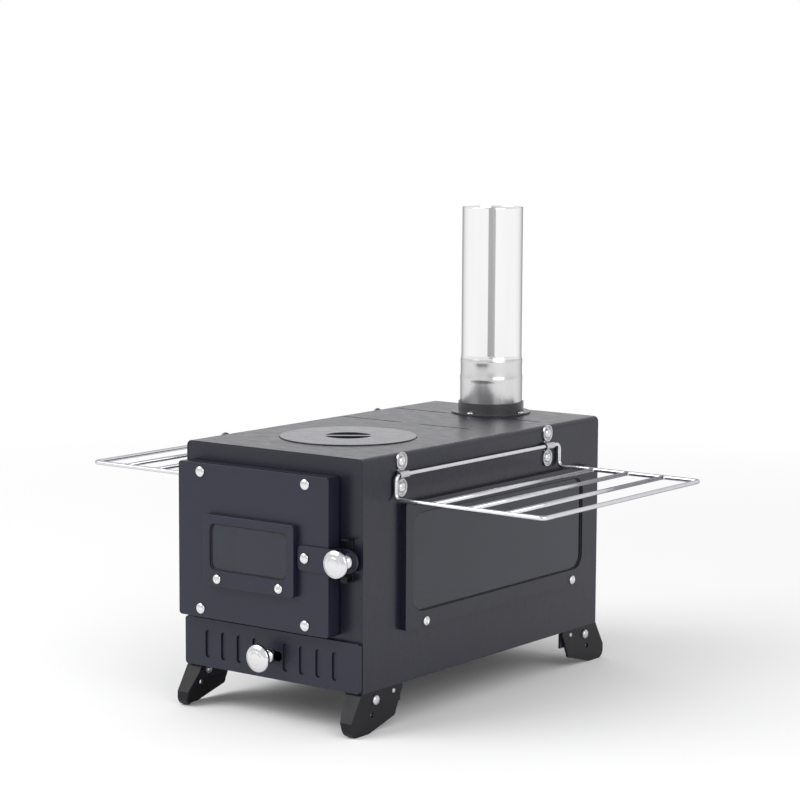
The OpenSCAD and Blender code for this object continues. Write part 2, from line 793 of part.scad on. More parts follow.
// Two hinge pins with small heads
module hinge_pins() {
    l = 2*hinge_knuckle_l + 2*gap;
    color([0.7, 0.7, 0.72]) for (s = [-1, 1]) translate([hinge_x, hinge_y, door_z + s*hinge_spread]) union() {
        translate([0, 0, -l/2 - 1]) cylinder(d = hinge_pin_d - 2*fit, h = l + 2);
        translate([0, 0, l/2 + 0.2]) cylinder(d = hinge_knuckle_d - 0.6, h = 1.2);
    }
}

// Cranked strap that closes the door
module latch_strap() {
    t = latch_t;
    y_out = door_front - gap - t;
    color([0.12, 0.12, 0.13]) difference() {
        union() {
            standing(y_out, t) union() {
                rounded(latch_x - latch_tail, latch_z - latch_h/2, latch_bend_x + t - 1,
                    latch_z + latch_h/2, latch_corner);
                translate([latch_x, latch_z - latch_h/2]) square([latch_bend_x + t - latch_x, latch_h]);
            }
            translate([latch_bend_x, y_out, latch_z - latch_h/2]) cube([t, latch_back - y_out, latch_h]);
            standing(latch_back - t, t) union() {
                translate([latch_knob_x, latch_z]) circle(r = latch_end_r);
                translate([latch_bend_x, latch_z - latch_h/2 + 0.55])
                    square([latch_knob_x - latch_bend_x, 2*latch_end_r]);
            }
        }
        along_y(latch_x, latch_z, latch_rivet_d + 2*fit, y_out - 1, door_front + 1);
        along_y(latch_knob_x, latch_z, 5 - 2*fit, latch_back - t - 1, latch_back + 1);
    }
}

// Rivet that the strap turns on
module latch_rivet() {
    y_out = door_front - gap - latch_t;
    color([0.85, 0.85, 0.87]) union() {
        along_y(latch_x, latch_z, latch_rivet_d, y_out - 0.4, door_inner + 0.8);
        head_front(latch_x, y_out - 0.1, latch_z, 9, 2.4);
        along_y(latch_x, latch_z, 8, door_inner, door_inner + 1);
    }
}

// Knob on the end of the strap
module latch_knob() {
    y = latch_back - latch_t;
    color([0.85, 0.85, 0.87]) union() {
        knob(latch_knob_x, y, latch_z);
        along_y(latch_knob_x, latch_z, 5 - 2*fit, y - 1, latch_back + 0.5);
    }
}

// Catch on the front panel: a hook below the strap and a flared stop above it
module latch_catch() {
    t = 1.5;
    reach = latch_knob_x - latch_x;
    lip_z = latch_z - latch_end_r - 2.5;
    floor_low = latch_z - (reach + 2)*sin(latch_drop) - latch_end_r - 0.6;
    hook_y = latch_back - latch_t - 0.8;
    top_z = latch_z + reach*sin(latch_lift) + latch_end_r + 0.6;
    color([0.2, 0.2, 0.2]) translate([catch_x - catch_w/2, 0, 0]) union() {
        translate([0, front_y - t, floor_low - t]) cube([catch_w, t, top_z - floor_low + 2*t]);
        translate([0, hook_y - t, floor_low - t]) cube([catch_w, front_y - hook_y + t, t]);
        translate([0, hook_y - t, floor_low - t]) cube([catch_w, t, lip_z - floor_low + t]);
        translate([0, hook_y, top_z]) cube([catch_w, front_y - hook_y - t + eps, t]);
    }
}

// One folding rack, built at rest on the right side
module rack_wires() {
    z_low = rack_hinge_z - rack_drop;
    x_out = rack_x + rack_reach;
    union() {
        along_y(rack_x, rack_hinge_z, wire_d, rack_front, rack_rear);
        for (y = [rack_front, rack_rear]) {
            translate([rack_x, y, z_low]) cylinder(d = wire_d, h = rack_drop);
            along_x(y, z_low, wire_d, rack_x, x_out);
            for (p = [[rack_x, rack_hinge_z], [rack_x, z_low], [x_out, z_low]])
                translate([p[0], y, p[1]]) sphere(d = wire_d);
        }
        along_y(x_out, z_low, wire_d, rack_front, rack_rear);
        for (i = [1:rack_bars])
            along_y(rack_x + i*rack_pitch, z_low, wire_d, rack_front, rack_rear);
    }
}

module rack_right() {
    color([0.8, 0.8, 0.82]) rack_wires();
}

module rack_left() {
    color([0.8, 0.8, 0.82]) mirror([1, 0, 0]) rack_wires();
}

// Pressed saddles that hold the hinge rod against the side
module rack_clips(side) {
    bore = wire_d + 2*fit;
    color([0.17, 0.17, 0.18]) for (y = clip_y) difference() {
        union() {
            translate([side > 0 ? half_w : -half_w - clip_t, 0, 0]) sideways(0, clip_t)
                upright_slot(y, rack_hinge_z, clip_l, clip_h);
            intersection() {
                translate([side*rack_x, y + clip_l/2, rack_hinge_z]) rotate([90, 0, 0])
                    cylinder(d = wire_d + 3, h = clip_l);
                translate([side > 0 ? half_w : -half_w - 10, y - clip_l/2, rack_hinge_z - 10])
                    cube([10, clip_l, 20]);
            }
        }
        translate([side*rack_x, y + clip_l, rack_hinge_z]) rotate([90, 0, 0]) cylinder(d = bore, h = 2*clip_l);
        translate([side > 0 ? half_w - 1 : -rack_x, y - clip_l, rack_hinge_z - bore/2])
            cube([rack_x - half_w + 1, 2*clip_l, bore]);
        for (z = [-clip_rivet_z, clip_rivet_z])
            along_x(y, rack_hinge_z + z, clip_rivet_d + 2*fit, -half_w - 5, half_w + 5);
    }
}

// Two rivets for each saddle
module clip_rivets(side) {
    color([0.85, 0.85, 0.87]) for (y = clip_y, z = [-clip_rivet_z, clip_rivet_z]) union() {
        x = half_w + clip_t;
        head_side(side, x, y, rack_hinge_z + z, 6.4, 1.9);
        along_x(y, rack_hinge_z + z, clip_rivet_d, side > 0 ? half_w - sheet - 1 : -x - 0.4,
            side > 0 ? x + 0.4 : -half_w + sheet + 1);
        along_x(y, rack_hinge_z + z, clip_tail_d, side > 0 ? half_w - sheet - 1 : -half_w + sheet,
            side > 0 ? half_w - sheet : -half_w + sheet + 1);
    }
}

foot_knee = [foot_flare, -foot_h + 13];
foot_toe_r = 8;
foot_toe = [foot_knee[0] - foot_toe_r, -foot_h + foot_toe_r];
foot_heel = [-foot_reach + 14, -foot_h + 13];
foot_heel_r = 4;

// Outline of the foot's cheek, seen from the side, measured from the end of the body
module foot_cheek() {
    sole = foot_toe - [0, foot_toe_r];
    difference() {
        union() {
            polygon([[1, 0], foot_knee, [foot_toe[0] + foot_toe_r, foot_toe[1]], sole,
                sole - [foot_sole_l, 0], foot_heel - [0, foot_heel_r], foot_heel - [foot_heel_r, 0],
                [-foot_reach, -3], [-foot_reach + 3, 0]]);
            translate(foot_toe) circle(foot_toe_r);
            translate(foot_heel) circle(foot_heel_r);
            translate([-foot_reach + 3, -3]) circle(3);
        }
        translate([-foot_bolt_y, foot_bolt_z]) circle(d = foot_bolt_d + 2*fit);
        translate([-foot_pin_y, foot_pin_z]) circle(d = foot_pin_d);
        translate([-foot_bolt_y + 4.5, foot_bolt_z - 12]) circle(d = 4.5);
    }
}

// Strip of the plate's thickness along the outline's outer end, where the web is folded round
module foot_web_strip() {
    difference() {
        union() {
            polygon([[1, 0], foot_knee, [foot_toe[0] + foot_toe_r, foot_toe[1]], [-foot_t, foot_toe[1]], [-foot_t, 0]]);
            translate(foot_toe) circle(foot_toe_r);
        }
        translate([-foot_t, 0]) polygon([[1, 1], [1, 0], foot_knee, [foot_toe[0] + foot_toe_r, foot_toe[1]],
            foot_toe, [-30, -foot_h], [-30, 1]]);
        translate(foot_toe) circle(foot_toe_r - foot_t);
        translate([-30, -foot_h - 1]) square([30 + foot_toe[0], foot_toe_r + 1]);
    }
}

// One foot at the rear right corner: a cheek, and a web that narrows to a round lower corner
module foot_shape() {
    union() {
        translate([foot_x - foot_t, half_l, 0]) rotate([90, 0, 90]) linear_extrude(foot_t) foot_cheek();
        intersection() {
            translate([foot_x - foot_w, half_l, 0]) rotate([90, 0, 90]) linear_extrude(foot_w) foot_web_strip();
            standing(half_l - 20, 60) union() {
                polygon([[foot_x - foot_w, 1], [foot_x + 1, 1], [foot_x + 1, -foot_h - 1],
                    [foot_x - foot_toe_w + 5, -foot_h - 1], [foot_x - foot_toe_w + 5, -foot_h],
                    [foot_x - foot_toe_w, -foot_h + 5], [foot_x - foot_w, -6]]);
                translate([foot_x - foot_toe_w + 5, -foot_h + 5]) circle(5);
            }
        }
    }
}

module foot(sx, sy) {
    color([0.16, 0.16, 0.17]) mirror([sx > 0 ? 0 : 1, 0, 0]) mirror([0, sy > 0 ? 0 : 1, 0]) foot_shape();
}

// Short angles under the base that the feet are bolted to
module foot_brackets() {
    color([0.2, 0.2, 0.22]) for (sx = [-1, 1], sy = [-1, 1])
        mirror([sx > 0 ? 0 : 1, 0, 0]) mirror([0, sy > 0 ? 0 : 1, 0]) {
            x = foot_x - foot_t - fit;
            difference() {
                union() {
                    translate([x - bracket_t, half_l - foot_reach, -16]) cube([bracket_t, foot_reach - 6, 16]);
                    translate([x - 16, half_l - foot_reach, -bracket_t])
                        cube([16, foot_reach - 6, bracket_t]);
                }
                along_x(half_l - foot_bolt_y, foot_bolt_z, foot_bolt_d + 2*fit, x - 5, x + 5);
                along_x(half_l - foot_pin_y, foot_pin_z, foot_pin_d, x - 5, x + 5);
            }
        }
}

module foot_bolts() {
    color([0.75, 0.75, 0.77]) for (sx = [-1, 1], sy = [-1, 1])
        mirror([sx > 0 ? 0 : 1, 0, 0]) mirror([0, sy > 0 ? 0 : 1, 0]) {
            x = foot_x;
            y = half_l - foot_bolt_y;
            along_x(y, foot_bolt_z, foot_bolt_d, x - foot_t - bracket_t - 5, x + 0.5);
            translate([x, y, foot_bolt_z]) rotate([0, 90, 0]) dome(9, 3);
            translate([x - foot_t - bracket_t - fit - 4, y, foot_bolt_z]) rotate([0, 90, 0])
                cylinder(d = 9, h = 3.9, $fn = 6);
        }
}

module foot_pins() {
    color([0.75, 0.75, 0.77]) for (sx = [-1, 1], sy = [-1, 1])
        mirror([sx > 0 ? 0 : 1, 0, 0]) mirror([0, sy > 0 ? 0 : 1, 0]) {
            x = foot_x;
            along_x(half_l - foot_pin_y, foot_pin_z, foot_pin_d - 2*fit, x - foot_t - bracket_t - 1, x + 1);
        }
}

placed() body_shell();
placed() front_frame();
placed() back_panel();
placed() floor_plate();
placed() base_plate();
placed() fire_grate();
placed() lid_seat_ring();
placed() cooking_lid();
placed() lid_grip_cup();
placed() flue_collar();
placed() collar_screws();
placed() chimney_pipe();
placed() ash_tray();
placed() ash_tray_sides();
placed() ash_tray_end();
placed() drawer_front();
placed() air_slide();
placed() air_slide_guides();
placed() drawer_knob();
placed() door_pan();
placed() door_liner();
placed() door_rivets();
placed() door_rope();
placed() door_glass();
placed() door_glass_seal();
placed() door_window_frame();
placed() door_window_screws();
placed() door_knuckles();
placed() body_knuckles();
placed() hinge_pins();
placed() latch_strap();
placed() latch_rivet();
placed() latch_knob();
placed() latch_catch();
placed() side_glass(1);  // side_glass_right
placed() side_glass(-1);  // side_glass_left
placed() side_seal(1);  // side_seal_right
placed() side_seal(-1);  // side_seal_left
placed() side_window_frame(1);  // side_window_frame_right
placed() side_window_frame(-1);  // side_window_frame_left
placed() side_window_screws(1);  // side_window_screws_right
placed() side_window_screws(-1);  // side_window_screws_left
placed() rack_right();
placed() rack_left();
placed() rack_clips(1);  // rack_clips_right
placed() rack_clips(-1);  // rack_clips_left
placed() clip_rivets(1);  // clip_rivets_right
placed() clip_rivets(-1);  // clip_rivets_left
placed() foot(1, -1);  // foot_front_right
placed() foot(-1, -1);  // foot_front_left
placed() foot(1, 1);  // foot_rear_right
placed() foot(-1, 1);  // foot_rear_left
placed() foot_brackets();
placed() foot_bolts();
placed() foot_pins();
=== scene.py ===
import json
import math

import bmesh
import bpy
from mathutils import Matrix, Vector


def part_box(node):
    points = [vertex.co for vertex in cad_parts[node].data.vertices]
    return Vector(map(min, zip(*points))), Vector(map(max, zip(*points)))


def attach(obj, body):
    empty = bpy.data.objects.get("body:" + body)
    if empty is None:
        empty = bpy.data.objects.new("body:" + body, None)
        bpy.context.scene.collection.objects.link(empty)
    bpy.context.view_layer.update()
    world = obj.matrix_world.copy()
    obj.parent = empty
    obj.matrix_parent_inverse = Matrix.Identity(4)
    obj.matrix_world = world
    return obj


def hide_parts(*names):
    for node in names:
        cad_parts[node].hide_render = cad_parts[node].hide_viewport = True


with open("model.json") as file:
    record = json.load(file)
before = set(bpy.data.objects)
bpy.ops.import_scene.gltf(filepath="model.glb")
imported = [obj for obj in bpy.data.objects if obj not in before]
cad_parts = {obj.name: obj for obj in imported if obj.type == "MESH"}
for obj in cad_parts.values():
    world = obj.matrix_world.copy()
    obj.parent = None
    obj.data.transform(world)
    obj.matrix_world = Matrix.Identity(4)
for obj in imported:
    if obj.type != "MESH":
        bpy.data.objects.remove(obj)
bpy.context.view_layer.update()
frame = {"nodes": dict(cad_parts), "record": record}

NODES = frame["nodes"]

# Camera: where it looks, from how far and how it is turned
LOOK_AT = Vector((-0.00104, 0.00625, 0.26119))
DISTANCE = 2.232
AZIMUTH = math.radians(36.75)
ELEVATION = math.radians(6.96)
ROLL = math.radians(0.29)
FOCAL_PIXELS = 2440.0
PICTURE_PIXELS = 800.0
SENSOR_MM = 36.0
VIEW_END = 50.0

# The body's box, which the places below are taken from
SHELL_LOW, SHELL_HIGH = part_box("body_shell")
MIDDLE_Y = (SHELL_LOW.y + SHELL_HIGH.y) / 2
HALF_W = SHELL_HIGH.x
MM = 0.001

FRONT = (0.0, -1.0, 0.0)
UP = (0.0, 0.0, 1.0)
SIDES = ((1.0, "right"), (-1.0, "left"))


def middle(node):
    low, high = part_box(node)
    return (low + high) / 2


def place_camera():
    data = bpy.data.cameras.new("camera")
    data.sensor_width = SENSOR_MM
    data.lens = FOCAL_PIXELS / PICTURE_PIXELS * SENSOR_MM
    data.clip_end = VIEW_END
    camera = bpy.data.objects.new("camera", data)
    bpy.context.scene.collection.objects.link(camera)
    back = Vector((math.sin(AZIMUTH) * math.cos(ELEVATION),
                   -math.cos(AZIMUTH) * math.cos(ELEVATION),
                   math.sin(ELEVATION)))
    turn = back.to_track_quat("Z", "Y").to_matrix().to_4x4()
    place = Matrix.Translation(LOOK_AT + back * DISTANCE)
    camera.matrix_world = place @ turn @ Matrix.Rotation(ROLL, 4, "Z")
    bpy.context.scene.camera = camera


# Small helpers for the node trees

def new_group(name, inputs, outputs):
    group = bpy.data.node_groups.new(name, "ShaderNodeTree")
    for label, kind, value in inputs:
        socket = group.interface.new_socket(label, in_out="INPUT", socket_type=kind)
        if value is not None:
            socket.default_value = value
    for label, kind in outputs:
        group.interface.new_socket(label, in_out="OUTPUT", socket_type=kind)
    ins = group.nodes.new("NodeGroupInput")
    outs = group.nodes.new("NodeGroupOutput")
    return group, ins, outs


def feed(tree, socket, value):
    if isinstance(value, (int, float)):
        socket.default_value = value
    elif isinstance(value, tuple):
        socket.default_value = (*value, 1.0) if socket.type == "RGBA" else value
    else:
        tree.links.new(value, socket)


def math_node(tree, operation, first, second, clamp=False):
    node = tree.nodes.new("ShaderNodeMath")
    node.operation = operation
    node.use_clamp = clamp
    feed(tree, node.inputs[0], first)
    feed(tree, node.inputs[1], second)
    return node.outputs[0]


def noise(tree, vector, scale, detail, roughness=0.55):
    node = tree.nodes.new("ShaderNodeTexNoise")
    feed(tree, node.inputs["Scale"], scale)
    node.inputs["Detail"].default_value = detail
    node.inputs["Roughness"].default_value = roughness
    tree.links.new(vector, node.inputs["Vector"])
    return node.outputs["Fac"]


def remap(tree, value, low, high, to_low, to_high):
    node = tree.nodes.new("ShaderNodeMapRange")
    tree.links.new(value, node.inputs["Value"])
    for label, number in zip(("From Min", "From Max", "To Min", "To Max"), (low, high, to_low, to_high)):
        feed(tree, node.inputs[label], number)
    return node.outputs["Result"]


def mix_colour(tree, factor, first, second):
    node = tree.nodes.new("ShaderNodeMix")
    node.data_type = "RGBA"
    tree.links.new(factor, node.inputs["Factor"])
    for label, value in (("A", first), ("B", second)):
        feed(tree, next(s for s in node.inputs if s.name == label and s.type == "RGBA"), value)
    return next(s for s in node.outputs if s.type == "RGBA")


def principled(tree):
    return next(n for n in tree.nodes if n.type == "BSDF_PRINCIPLED")


def stretch(tree, vector, factors):
    node = tree.nodes.new("ShaderNodeVectorMath")
    node.operation = "MULTIPLY"
    tree.links.new(vector, node.inputs[0])
    node.inputs[1].default_value = factors
    return node.outputs[0]


def shaded(tree, colour, factor):
    node = tree.nodes.new("ShaderNodeVectorMath")
    node.operation = "SCALE"
    feed(tree, node.inputs[0], colour)
    tree.links.new(factor, node.inputs["Scale"])
    return node.outputs[0]


# Effects shared by the materials

def paint_group():
    """Heat-proof paint: fine orange-peel grain, cloudy tone, scuffs and a few rubbed specks"""
    group, ins, outs = new_group(
        "heat_proof_paint",
        [("Vector", "NodeSocketVector", None), ("Colour", "NodeSocketColor", (0.03, 0.03, 0.036, 1.0)),
         ("Rubbed", "NodeSocketColor", (0.08, 0.08, 0.10, 1.0)), ("Grain", "NodeSocketFloat", 1500.0),
         ("Wear", "NodeSocketFloat", 0.2), ("Roughness", "NodeSocketFloat", 0.42)],
        [("Colour", "NodeSocketColor"), ("Roughness", "NodeSocketFloat"), ("Height", "NodeSocketFloat")])
    vector = ins.outputs["Vector"]
    cloud = noise(group, vector, 9.0, 3.0)
    specks = noise(group, vector, 420.0, 2.0, 0.4)
    scuffs = noise(group, stretch(group, vector, (60.0, 140.0, 25.0)), 1.0, 5.0, 0.6)
    grain = noise(group, vector, ins.outputs["Grain"], 2.0, 0.5)
    shade = shaded(group, ins.outputs["Colour"], remap(group, cloud, 0.3, 0.7, 0.9, 1.1))
    rub = math_node(group, "MULTIPLY", remap(group, specks, 0.66, 0.74, 0.0, 1.0),
                    remap(group, scuffs, 0.5, 0.66, 0.0, 1.0))
    rub = math_node(group, "MULTIPLY", rub, ins.outputs["Wear"], clamp=True)
    group.links.new(mix_colour(group, rub, shade, ins.outputs["Rubbed"]), outs.inputs["Colour"])
    rough = math_node(group, "ADD", ins.outputs["Roughness"], remap(group, scuffs, 0.3, 0.7, -0.04, 0.05))
    rough = math_node(group, "ADD", rough, remap(group, grain, 0.3, 0.7, -0.03, 0.03))
    group.links.new(rough, outs.inputs["Roughness"])
    height = math_node(group, "ADD", math_node(group, "MULTIPLY", grain, 0.8),
                       math_node(group, "MULTIPLY", specks, 0.4))
    group.links.new(height, outs.inputs["Height"])
    return group


def brushed_group():
    """Brushed or drawn metal: streaks and faint stains"""
    group, ins, outs = new_group(
        "brushed_metal",
        [("Vector", "NodeSocketVector", None), ("Light", "NodeSocketColor", (0.7, 0.7, 0.71, 1.0)),
         ("Dark", "NodeSocketColor", (0.45, 0.45, 0.46, 1.0)), ("Roughness", "NodeSocketFloat", 0.25),
         ("Spread", "NodeSocketFloat", 0.12)],
        [("Colour", "NodeSocketColor"), ("Roughness", "NodeSocketFloat"), ("Height", "NodeSocketFloat")])
    vector = ins.outputs["Vector"]
    streaks = noise(group, vector, 1.0, 4.0, 0.6)
    stains = noise(group, stretch(group, vector, (0.02, 0.02, 0.02)), 1.0, 3.0)
    mixed = math_node(group, "ADD", math_node(group, "MULTIPLY", streaks, 0.7),
                      math_node(group, "MULTIPLY", stains, 0.3))
    group.links.new(mix_colour(group, remap(group, mixed, 0.35, 0.65, 0.0, 1.0),
                               ins.outputs["Dark"], ins.outputs["Light"]), outs.inputs["Colour"])
    swing = math_node(group, "MULTIPLY", remap(group, streaks, 0.3, 0.7, -0.5, 0.5), ins.outputs["Spread"])
    group.links.new(math_node(group, "ADD", ins.outputs["Roughness"], swing), outs.inputs["Roughness"])
    group.links.new(streaks, outs.inputs["Height"])
    return group


def soot_group():
    """Inside steel: fine scale and patches of soot"""
    group, ins, outs = new_group(
        "sooty_steel",
        [("Vector", "NodeSocketVector", None), ("Steel", "NodeSocketColor", (0.1, 0.098, 0.095, 1.0)),
         ("Soot", "NodeSocketColor", (0.02, 0.019, 0.018, 1.0))],
        [("Colour", "NodeSocketColor"), ("Roughness", "NodeSocketFloat"), ("Height", "NodeSocketFloat")])
    vector = ins.outputs["Vector"]
    patches = noise(group, vector, 22.0, 6.0, 0.65)
    scale = noise(group, vector, 700.0, 3.0, 0.6)
    mask = remap(group, patches, 0.38, 0.62, 0.0, 1.0)
    colour = mix_colour(group, mask, ins.outputs["Soot"], ins.outputs["Steel"])
    group.links.new(colour, outs.inputs["Colour"])
    group.links.new(remap(group, patches, 0.3, 0.7, 0.75, 0.45), outs.inputs["Roughness"])
    group.links.new(math_node(group, "ADD", scale, patches), outs.inputs["Height"])
    return group


def weave_group():
    """Woven glass fibre: crossing threads and fuzz"""
    group, ins, outs = new_group(
        "glass_fibre_weave",
        [("Vector", "NodeSocketVector", None), ("Thread", "NodeSocketColor", (0.6, 0.59, 0.54, 1.0)),
         ("Gap", "NodeSocketColor", (0.3, 0.29, 0.26, 1.0))],
        [("Colour", "NodeSocketColor"), ("Roughness", "NodeSocketFloat"), ("Height", "NodeSocketFloat")])
    vector = ins.outputs["Vector"]
    bands = []
    for direction in ("X", "Z"):
        wave = group.nodes.new("ShaderNodeTexWave")
        wave.bands_direction = direction
        wave.inputs["Scale"].default_value = 220.0
        wave.inputs["Distortion"].default_value = 0.6
        group.links.new(vector, wave.inputs["Vector"])
        bands.append(wave.outputs["Fac"])
    threads = math_node(group, "MULTIPLY", bands[0], bands[1])
    fuzz = noise(group, vector, 1400.0, 2.0)
    colour = mix_colour(group, threads, ins.outputs["Gap"], ins.outputs["Thread"])
    group.links.new(colour, outs.inputs["Colour"])
    group.links.new(remap(group, fuzz, 0.2, 0.8, 0.8, 1.0), outs.inputs["Roughness"])
    group.links.new(math_node(group, "ADD", threads, math_node(group, "MULTIPLY", fuzz, 0.3)),
                    outs.inputs["Height"])
    return group


PAINT = paint_group()
BRUSHED = brushed_group()
SOOT = soot_group()
WEAVE = weave_group()


def material(name, group, values, bump, distance, metallic=0.0, coords=(1.0, 1.0, 1.0), **sockets):
    """A Principled material whose colour, roughness and bump come from one shared effect"""
    made = bpy.data.materials.new(name)
    made.use_nodes = True
    tree = made.node_tree
    shader = principled(tree)
    place = tree.nodes.new("ShaderNodeTexCoord")
    mapping = tree.nodes.new("ShaderNodeMapping")
    mapping.inputs["Scale"].default_value = coords
    tree.links.new(place.outputs["Object"], mapping.inputs["Vector"])
    effect = tree.nodes.new("ShaderNodeGroup")
    effect.node_tree = group
    tree.links.new(mapping.outputs["Vector"], effect.inputs["Vector"])
    for label, value in values.items():
        feed(tree, effect.inputs[label], value)
    tree.links.new(effect.outputs["Colour"], shader.inputs["Base Color"])
    tree.links.new(effect.outputs["Roughness"], shader.inputs["Roughness"])
    lumps = tree.nodes.new("ShaderNodeBump")
    lumps.inputs["Strength"].default_value = bump
    lumps.inputs["Distance"].default_value = distance
    tree.links.new(effect.outputs["Height"], lumps.inputs["Height"])
    tree.links.new(lumps.outputs["Normal"], shader.inputs["Normal"])
    shader.inputs["Metallic"].default_value = metallic
    for label, value in sockets.items():
        shader.inputs[label.replace("_", " ")].default_value = value
    return made


def paint(name, colour, roughness, wear=0.25, **sockets):
    """Heat-proof paint, with any further sockets of the shader by name"""
    values = {"Colour": colour, "Wear": wear, "Roughness": roughness}
    return material(name, PAINT, values, bump=0.12, distance=0.0002, **sockets)


def metal(name, light, dark, roughness, spread, coords, bump=0.05, rim=(0.55, 0.55, 0.57)):
    """Brushed metal; the rim colour tints what it mirrors at a glancing angle"""
    values = {"Light": light, "Dark": dark, "Roughness": roughness, "Spread": spread}
    made = material(name, BRUSHED, values, bump, distance=0.0001, metallic=1.0, coords=coords)
    principled(made.node_tree).inputs["Specular Tint"].default_value = (*rim, 1.0)
    return made


def glass_material():
    made = bpy.data.materials.new("smoked_glass")
    made.use_nodes = True
    tree = made.node_tree
    shader = principled(tree)
    place = tree.nodes.new("ShaderNodeTexCoord")
    haze = noise(tree, place.outputs["Object"], 14.0, 4.0)
    film = noise(tree, place.outputs["Object"], 160.0, 3.0)
    tree.links.new(mix_colour(tree, remap(tree, haze, 0.3, 0.75, 0.0, 1.0),
                              (0.048, 0.06, 0.11), (0.032, 0.038, 0.066)), shader.inputs["Base Color"])
    tree.links.new(remap(tree, film, 0.3, 0.8, 0.02, 0.09), shader.inputs["Roughness"])
    shader.inputs["Transmission Weight"].default_value = 0.8
    shader.inputs["IOR"].default_value = 1.5
    return made


# How fine the brushing is along X, Y and Z; a low last number draws it out along the height
POLISHED = (700.0, 700.0, 700.0)
PLATED = (500.0, 500.0, 500.0)
DRAWN_WIRE = (160.0, 160.0, 160.0)
ROLLED_TUBE = (260.0, 260.0, 6.0)
ROLLED_SEAM = (260.0, 260.0, 12.0)
# Brushing for the pipe's lower part, whose darker steel is a painted dark reflection
LOWER_TUBE_BRUSHING = (160.0, 160.0, 12.0)

MATERIALS = {
    "body_paint": paint("body_paint", (0.010, 0.0105, 0.021), 0.3, Specular_IOR_Level=0.42),
    "door_paint": paint("door_paint", (0.011, 0.0125, 0.026), 0.36, Specular_IOR_Level=0.42),
    # The top's paint is given a lighter colour than the sides' paint: a painted sheen for the bright
    # glancing reflection on top
    "top_paint": paint("top_paint", (0.018, 0.0185, 0.032), 0.19, wear=0.35),
    "cast_black": paint("cast_black", (0.045, 0.045, 0.05), 0.3, wear=0.2),
    "foot_paint": paint("foot_paint", (0.006, 0.006, 0.008), 0.4, wear=0.3, Specular_IOR_Level=0.25),
    "inner_steel": material("inner_steel", SOOT, {}, bump=0.3, distance=0.0004),
    "glass_fibre": material("glass_fibre", WEAVE,
                            {"Thread": (0.05, 0.05, 0.05), "Gap": (0.015, 0.015, 0.015)},
                            bump=0.6, distance=0.0005),
    "chrome_trim": metal("chrome_trim", (0.80, 0.80, 0.815), (0.70, 0.70, 0.715), 0.1, 0.06, POLISHED),
    "zinc_steel": metal("zinc_steel", (0.70, 0.70, 0.73), (0.54, 0.54, 0.57), 0.3, 0.12, PLATED),
    "stainless_wire": metal("stainless_wire", (0.80, 0.80, 0.83), (0.72, 0.72, 0.75), 0.2, 0.06,
                            DRAWN_WIRE, rim=(0.35, 0.35, 0.37)),
    "stainless_pipe": metal("stainless_pipe", (0.95, 0.945, 0.945), (0.92, 0.915, 0.915), 0.12, 0.03,
                            ROLLED_TUBE, bump=0.01, rim=(0.3, 0.3, 0.3)),
    "window_glass": glass_material(),
}
# The pipe's lock seam and its lower part are given darker steel than the pipe: painted dark reflection, as
# a dark band down the seam where it faces the camera and as a darker lower part
SEAM_PAINTED_REFLECTION_STEEL = metal("seam_painted_dark_reflection", (0.50, 0.495, 0.50), (0.45, 0.445, 0.45), 0.25, 0.06,
                   ROLLED_SEAM, bump=0.01)
LOWER_PIPE_PAINTED_REFLECTION_STEEL = metal("lower_pipe_painted_dark_reflection", (0.74, 0.735, 0.74), (0.69, 0.685, 0.69), 0.2, 0.05,
                     LOWER_TUBE_BRUSHING, bump=0.01, rim=(0.35, 0.35, 0.35))

SLOT = {entry["node"]: entry["material_slot"] for entry in frame["record"]["subparts"]}
BODY = {node: body for body, nodes in frame["record"]["behaviour"]["bodies"].items() for node in nodes}


# Making of pieces

def add_piece(name, mesh, node, slot=None):
    """A new piece in place of a node, on the node's body and with its finish or the slot's"""
    made = bpy.data.objects.new(name, mesh)
    bpy.context.scene.collection.objects.link(made)
    slot = slot or SLOT[node]
    if not mesh.materials:
        mesh.materials.append(MATERIALS[slot])
    mesh.polygons.foreach_set("use_smooth", [True] * len(mesh.polygons))
    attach(made, BODY[node])
    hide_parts(node)
    return made


def even_normals(made):
    level = made.modifiers.new("even_shading", "WEIGHTED_NORMAL")
    level.mode = "FACE_AREA_WITH_ANGLE"
    level.keep_sharp = False


# An edge that turns less than this is part of a curve, and stays as it is
EDGE_TURN = math.radians(25.0)


def soft_copy(node, width, wide_width=0.0, wide=None, segments=3, slot=None):
    """The node's own shape, merged and with its edges rounded as pressing and painting leave them"""
    bm = bmesh.new()
    bm.from_mesh(NODES[node].data)
    bmesh.ops.remove_doubles(bm, verts=bm.verts, dist=2e-6)
    bmesh.ops.dissolve_limit(bm, angle_limit=math.radians(0.5), verts=bm.verts, edges=bm.edges)
    largest = max(width, wide_width)
    layer = bm.edges.layers.float.new("bevel_weight_edge")
    for edge in bm.edges:
        if len(edge.link_faces) != 2 or edge.calc_face_angle() < EDGE_TURN:
            continue
        edge[layer] = width / largest
        if wide and wide(edge):
            edge[layer] = wide_width / largest
    mesh = bpy.data.meshes.new(node + "_mesh")
    bm.to_mesh(mesh)
    bm.free()
    made = add_piece(node + "_finished", mesh, node, slot)
    bevel = made.modifiers.new("rounded_edges", "BEVEL")
    bevel.width = largest
    bevel.segments = segments
    bevel.limit_method = "WEIGHT"
    bevel.use_clamp_overlap = True
    even_normals(made)


def faces_of(edge):
    return edge.link_faces[0].normal, edge.link_faces[1].normal


# A rim's edges lie this near the outline of its face, and this near the plane of it
RIM_REACH = 3.5 * MM
RIM_DEPTH = 0.4 * MM
# A foot's bend lies further than this from the middle of the body's length
BEND_FROM = 180.0 * MM


def front_rim(node):
    """Picks the outer edges of a node's front face"""
    low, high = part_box(node)

    def chosen(edge):
        first, second = faces_of(edge)
        spot = (edge.verts[0].co + edge.verts[1].co) / 2
        at_rim = min(spot.x - low.x, high.x - spot.x, spot.z - low.z, high.z - spot.z) < RIM_REACH
        return spot.y < low.y + RIM_DEPTH and at_rim and min(first.y, second.y) < -0.9

    return chosen


